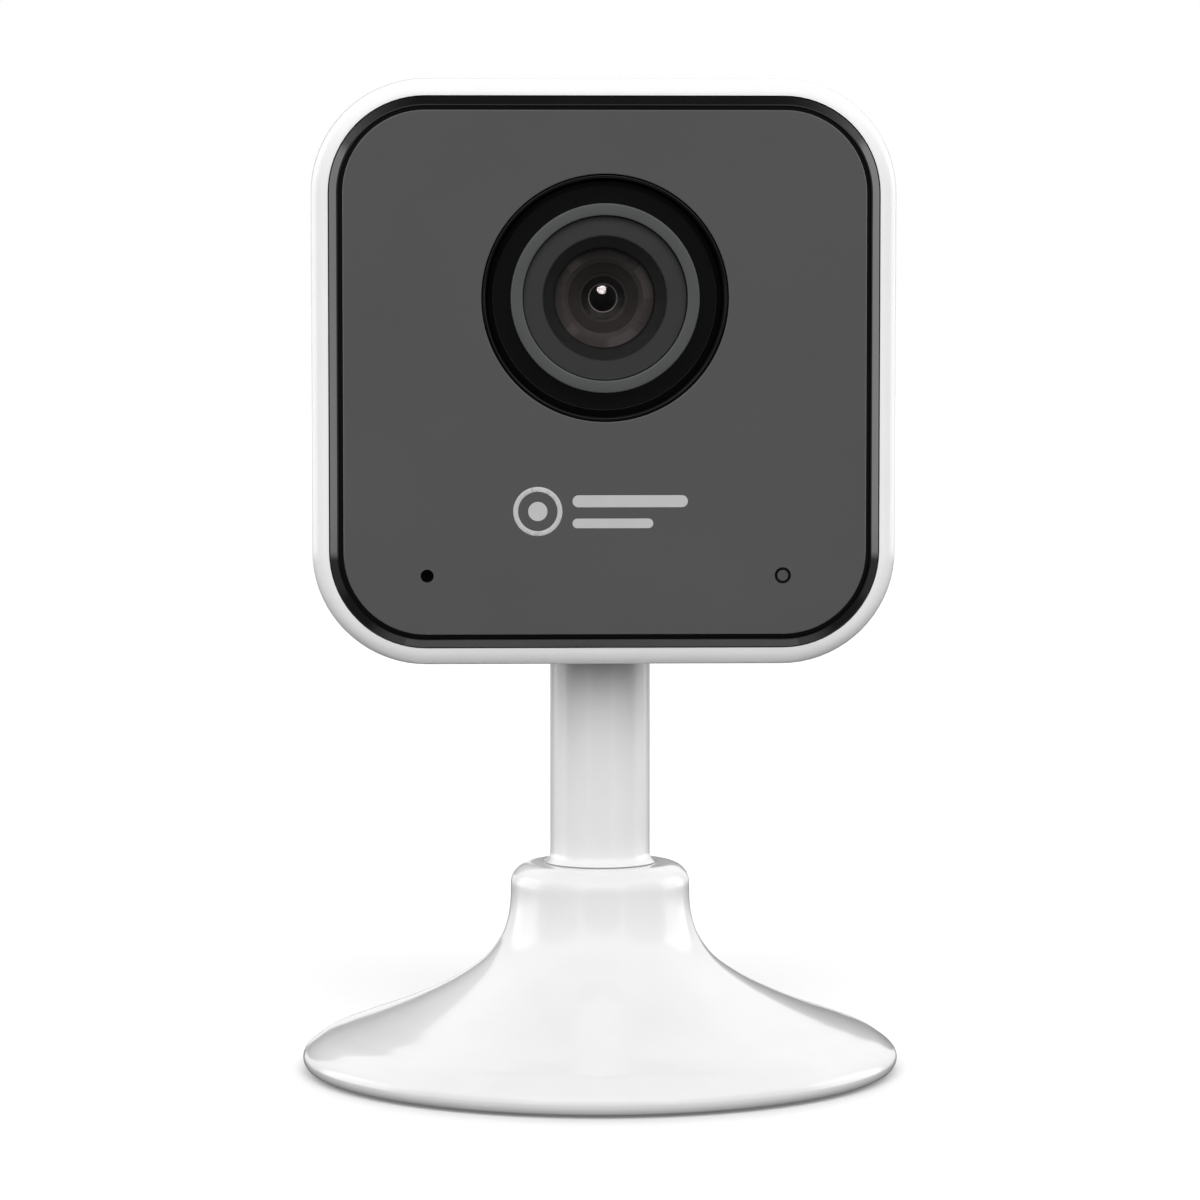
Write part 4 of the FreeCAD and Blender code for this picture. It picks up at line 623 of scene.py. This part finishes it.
def build_face():
    """Dark face panel with eased edges, a large hole for the lens and two small ports."""
    half, front, back = FACE_HIGH[0], FACE_LOW[1], FACE_HIGH[1]
    ease = 0.12 * MM
    loops = head_loops(softened([(half, back), (half, front), (half - 1 * MM, front)], ease, closed=False))
    inner = softened([(RECESS_RADIUS + 1 * MM, front), (RECESS_RADIUS, front), (RECESS_RADIUS, back)],
                     ease, closed=False)
    loops += [circle_loop(LENS, radius, depth, "y", SQUARE_COUNT) for radius, depth in inner]
    blank = loose("face_blank", skin([align(loop) for loop in loops]))
    carve(blank, port_drills(front - 1 * MM, back + 1 * MM))
    place("face_panel_visual", to_bmesh(blank), "head", FACE, ("face_panel",))


def build_mark():
    """Plain printed mark below the lens: a ring with a dot, and two bars. It spells nothing."""
    depth = FACE_LOW[1] - 0.015 * MM
    behind = FACE_LOW[1] + 0.02 * MM
    centre_z = HEAD_Z - 14.35 * MM

    def plate(name, outline):
        loops = [[Vector((x, y, centre_z + z)) for x, z in outline] for y in (behind, depth)]
        place(name, skin(loops, closed=False), "head", PRINT)

    def pill(middle, width, height):
        radius = height / 2
        reach = width / 2 - radius
        right = arc((middle[0] + reach, middle[1]), radius, -90, 90, 12)
        left = arc((middle[0] - reach, middle[1]), radius, 90, 270, 12)
        return list(right) + list(left)

    ring_x = -7.0 * MM
    ring = softened([(2.55 * MM, behind), (2.55 * MM, depth), (2.05 * MM, depth), (2.05 * MM, behind)],
                    0.004 * MM)
    place("mark_ring", lathe(ring, (ring_x, 0, centre_z), "y", 96), "head", PRINT)
    plate("mark_dot", list(arc((ring_x, 0), 1.0 * MM, 0, 352.5, 47)))
    plate("mark_bar_long", pill((2.6 * MM, 1.05 * MM), 12.0 * MM, 1.25 * MM))
    plate("mark_bar_short", pill((0.8 * MM, -1.25 * MM), 8.4 * MM, 1.0 * MM))


# ---------------------------------------------------------------- lens

def lens_piece(name, points, soft, material, node):
    """Turned piece of the lens, its corners softened, in place of its CAD node."""
    place(name, lathe(softened(points, soft), LENS, "y"), "head", material, (node,))


def build_lens():
    """Stepped recess, grey ring, window, and the lens stack behind it, front to back."""
    rim = RECESS_RADIUS - 0.1 * MM
    front = SURROUND_LOW[1]
    floor, back = BEZEL_HIGH[1], SURROUND_HIGH[1]
    flange = SURROUND_HIGH[0]
    bezel, bezel_inner = BEZEL_HIGH[0], 8.55 * MM
    lens_piece("lens_surround_visual", [
        (rim, front), (rim, floor + 0.3 * MM), (flange, floor + 0.3 * MM), (flange, back),
        (bezel_inner + 0.05 * MM, back), (bezel_inner + 0.05 * MM, floor), (rim - 1.1 * MM, floor),
        (rim - 0.62 * MM, floor - 0.35 * MM), (rim - 0.3 * MM, front)], 0.15 * MM, RECESS,
        "lens_surround")
    lens_piece("lens_bezel_visual", [
        (bezel, floor), (bezel, BEZEL_LOW[1]), (bezel_inner, BEZEL_LOW[1]), (bezel_inner, floor)],
        0.16 * MM, BEZEL, "lens_bezel")
    cover = COVER_HIGH[0]
    lens_piece("lens_cover_visual", [(0, COVER_HIGH[1]), (cover, COVER_HIGH[1]), (cover, COVER_LOW[1]),
                                     (0, COVER_LOW[1])], 0.05 * MM, CLEAR, "lens_cover")
    hood_low, hood_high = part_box("lens_hood")
    mouth, throat, outer = 6.4 * MM, 5.3 * MM, hood_high[0]
    lens_piece("lens_hood_visual", [
        (mouth, hood_low[1]), (outer, hood_low[1]), (outer, hood_high[1]), (throat, hood_high[1]),
        (throat, hood_high[1] - 0.35 * MM), (throat + 0.35 * MM, hood_high[1] - 0.7 * MM)],
        0.05 * MM, HOOD, "lens_hood")
    sheet = 0.04 * MM
    mask = [(mouth + 0.1 * MM, hood_low[1] - sheet), (cover - 0.05 * MM, hood_low[1] - sheet),
            (cover - 0.05 * MM, hood_low[1]), (mouth + 0.1 * MM, hood_low[1])]
    place("lens_mask", lathe(mask, LENS, "y"), "head", MASK)
    ring_low, ring_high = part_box("lens_retainer")
    outer, opening = ring_high[0], 5.16 * MM
    lens_piece("lens_retainer_visual", [
        (opening + 0.2 * MM, ring_low[1]), (outer, ring_low[1]), (outer, ring_high[1]),
        (opening, ring_high[1]), (opening, ring_low[1] + 0.2 * MM)], 0.04 * MM, SATIN,
        "lens_retainer")
    build_front_element(opening, ring_low[1], ring_high[1])
    spacer_low, spacer_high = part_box("lens_spacer")
    # The spacer's brown is painted reflection of the coated glass in front.
    lens_piece("lens_spacer_visual", [
        (3.7 * MM, spacer_high[1]), (3.7 * MM, spacer_high[1] - 0.15 * MM), (4.2 * MM, spacer_low[1]),
        (spacer_high[0], spacer_low[1]), (spacer_high[0], spacer_high[1])], 0.05 * MM,
        SPACER, "lens_spacer")
    stop_low, stop_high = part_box("aperture_stop")
    opening, reach = 1.53 * MM, stop_high[0]
    ledge = stop_high[1] - 0.3 * MM
    # The stop's brown is painted reflection of the coated glass in front.
    lens_piece("aperture_stop_visual", [
        (opening, stop_high[1]), (opening, ledge), (opening + 0.08 * MM, ledge - 0.05 * MM),
        (opening + 0.22 * MM, ledge), (opening + 0.28 * MM, ledge - 0.1 * MM),
        (opening + 0.6 * MM, ledge - 0.2 * MM), (opening + 0.62 * MM, ledge - 0.28 * MM),
        (opening + 1.07 * MM, stop_low[1] + 0.85 * MM), (opening + 1.12 * MM, stop_low[1] + 0.7 * MM),
        (reach - 0.65 * MM, stop_low[1]), (reach, stop_low[1]), (reach, stop_high[1])],
        0.03 * MM, FUNNEL, "aperture_stop")
    # Painted shade: a flat black ring laid over the stop's ledge, darkening the band round the pupil as
    # shade would.
    shade = [(opening + 0.03 * MM, ledge), (opening + 0.03 * MM, ledge - 0.12 * MM),
             (opening + 0.75 * MM, ledge - 0.36 * MM), (opening + 0.75 * MM, ledge)]
    place("aperture_painted_shade", lathe(shade, LENS, "y", 96), "head", RECESS)
    # The thin ring on the edge of the opening is real; its light grey is painted highlight, for the light
    # the edge catches.
    edge = [(opening, ledge - 0.02 * MM), (opening - 0.09 * MM, ledge + 0.08 * MM),
            (opening, ledge + 0.12 * MM)]
    place("aperture_rim", lathe(edge, LENS, "y", 96), "head", APERTURE_RIM_HIGHLIGHT)


def build_front_element(opening, apex, seat):
    """Domed front glass, thinner at the edge, seated behind the retaining ring."""
    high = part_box("lens_front")[1]
    curve = 22.5 * MM
    outer = high[0]
    steps = 24
    dome = [(opening * step / steps, apex + curve - math.sqrt(curve ** 2 - (opening * step / steps) ** 2))
            for step in range(steps + 1)]
    points = dome + [(opening, seat), (outer, seat), (outer, high[1]), (0, high[1])]
    place("lens_front_visual", lathe(points, LENS, "y", 160), "head", COATED,
          ("lens_front",))


# ---------------------------------------------------------------- room, light and camera

def soft_sun(name, toward, strength, spread):
    """Distant soft light that shines from the direction toward, spread over so many degrees."""
    data = bpy.data.lights.new(name, "SUN")
    data.energy = strength
    data.angle = math.radians(spread)
    lamp = bpy.data.objects.new(name, data)
    lamp.rotation_euler = Vector(toward).to_track_quat("Z", "Y").to_euler()
    lamp.visible_glossy = False
    COLLECTION.objects.link(lamp)


def build_room():
    """Pale floor that reaches far behind and runs into the bright surroundings."""
    reach = 12.0
    mesh = bmesh.new()
    bmesh.ops.create_grid(mesh, x_segments=2, y_segments=2, size=reach)
    data = bpy.data.meshes.new("floor")
    mesh.to_mesh(data)
    mesh.free()
    floor = bpy.data.objects.new("floor", data)
    COLLECTION.objects.link(floor)
    data.materials.append(surface("floor_paper", (0.93, 0.93, 0.93), 0.9, vary=0.004, grain=60.0, bump=0.0))
    floor.visible_diffuse = floor.visible_glossy = False


# Brightness of the surroundings by height: -1 straight down, 0 level, 1 straight up.
SKY_HEIGHTS = ((-1.0, 0.60), (-0.93, 0.60), (-0.80, 0.12), (-0.14, 0.12), (-0.05, 1.0), (0.62, 1.0),
               (0.84, 0.45), (1.0, 0.08))
# Patches: direction, cosines of the patch's edge and middle, and how far it darkens (below 0, brightens).
SKY_PATCHES = (
    ((0.0, -1.0, 0.0), 0.88, 0.95, 0.90),
    ((-0.85, -0.50, 0.10), 0.82, 0.92, 0.70),
    ((0.85, -0.50, 0.10), 0.82, 0.92, 0.70),
    ((-0.96, 0.25, 0.0), 0.82, 0.90, -1.6),
    ((0.96, 0.25, 0.0), 0.82, 0.90, -1.6),
    ((0.0, 1.0, 0.0), 0.955, 0.968, 0.75),
    ((0.0, 1.0, 0.0), 0.984, 0.990, -3.0),
    ((-0.233, 0.933, 0.276), 0.966, 0.972, 0.95),
    ((0.170, 0.980, 0.105), 0.985, 0.989, 0.95),
)


def build_sky():
    """Bright surroundings with darker places for gloss to mirror; plain white where seen directly."""
    world = bpy.data.worlds.new("studio")
    world.use_nodes = True
    tree = world.node_tree
    direction = tree.nodes.new("ShaderNodeTexCoord")
    parts = tree.nodes.new("ShaderNodeSeparateXYZ")
    tree.links.new(direction.outputs["Generated"], parts.inputs["Vector"])
    height = tree.nodes.new("ShaderNodeMapRange")
    height.inputs["From Min"].default_value = -1.0
    tree.links.new(parts.outputs["Z"], height.inputs["Value"])
    bands = tree.nodes.new("ShaderNodeValToRGB")
    stops = bands.color_ramp.elements
    while len(stops) < len(SKY_HEIGHTS):
        stops.new(0.5)
    for stop, (level, light) in zip(stops, SKY_HEIGHTS):
        stop.position = (level + 1) / 2
        stop.color = (light, light, light, 1)
    tree.links.new(height.outputs["Result"], bands.inputs["Fac"])
    total = bands.outputs["Color"]
    for axis, edge, middle, depth in SKY_PATCHES:
        toward = tree.nodes.new("ShaderNodeVectorMath")
        toward.operation = "DOT_PRODUCT"
        toward.inputs[1].default_value = Vector(axis).normalized()
        tree.links.new(direction.outputs["Generated"], toward.inputs[0])
        fade = tree.nodes.new("ShaderNodeMapRange")
        fade.interpolation_type = "SMOOTHSTEP"
        fade.inputs["From Min"].default_value = edge
        fade.inputs["From Max"].default_value = middle
        fade.inputs["To Min"].default_value = 1.0
        fade.inputs["To Max"].default_value = 1.0 - depth
        tree.links.new(toward.outputs["Value"], fade.inputs["Value"])
        times = tree.nodes.new("ShaderNodeMath")
        times.operation = "MULTIPLY"
        tree.links.new(total, times.inputs[0])
        tree.links.new(fade.outputs["Result"], times.inputs[1])
        total = times.outputs["Value"]
    ray = tree.nodes.new("ShaderNodeLightPath")
    plain = tree.nodes.new("ShaderNodeMath")
    plain.operation = "MAXIMUM"
    tree.links.new(total, plain.inputs[0])
    tree.links.new(ray.outputs["Is Camera Ray"], plain.inputs[1])
    tree.links.new(plain.outputs["Value"], tree.nodes["Background"].inputs["Strength"])
    tree.nodes["Background"].inputs["Color"].default_value = (1, 1, 1, 1)
    bpy.context.scene.world = world


def build_lights():
    """Broad soft light on matt surfaces, and one small lamp that only shows as a glint."""
    soft_sun("front_light", (0.0, -0.84, 0.54), 2.35, 62)
    soft_sun("back_light", (0.0, 0.80, 0.60), 0.8, 70)
    toward = Vector((0.0, -0.972, 0.235))
    data = bpy.data.lights.new("glint", "AREA")
    data.shape = "DISK"
    data.size = 0.27
    data.energy = 6.0
    glint = bpy.data.objects.new("glint", data)
    glint.location = Vector(LENS) + toward
    glint.rotation_euler = toward.to_track_quat("Z", "Y").to_euler()
    glint.visible_camera = glint.visible_diffuse = False
    receivers = bpy.data.collections.new("glint_on")
    receivers.objects.link(frame["nodes"]["lens_rear"])
    glint.light_linking.receiver_collection = receivers
    COLLECTION.objects.link(glint)


def build_camera():
    """Long lens, half a metre away, level with the head and looking slightly down."""
    azimuth, elevation = math.radians(-2.0), math.radians(3.96)
    reach = 0.5 / math.cos(elevation)
    aim = Vector((0, 0, 50.6 * MM))
    back = Vector((math.sin(azimuth) * math.cos(elevation), -math.cos(azimuth) * math.cos(elevation),
                   math.sin(elevation)))
    data = bpy.data.cameras.new("camera")
    data.sensor_width = 36.0
    data.lens = 140.1
    data.clip_start, data.clip_end = 0.01, 20.0
    camera = bpy.data.objects.new("camera", data)
    camera.location = aim + back * reach
    camera.rotation_euler = back.to_track_quat("Z", "Y").to_euler()
    COLLECTION.objects.link(camera)
    bpy.context.scene.camera = camera


bpy.context.scene.view_settings.view_transform = "Standard"
dress_cad_nodes()
build_base()
build_stalk()
build_shell()
build_frame()
build_face()
build_mark()
build_lens()
build_room()
build_sky()
build_lights()
build_camera()
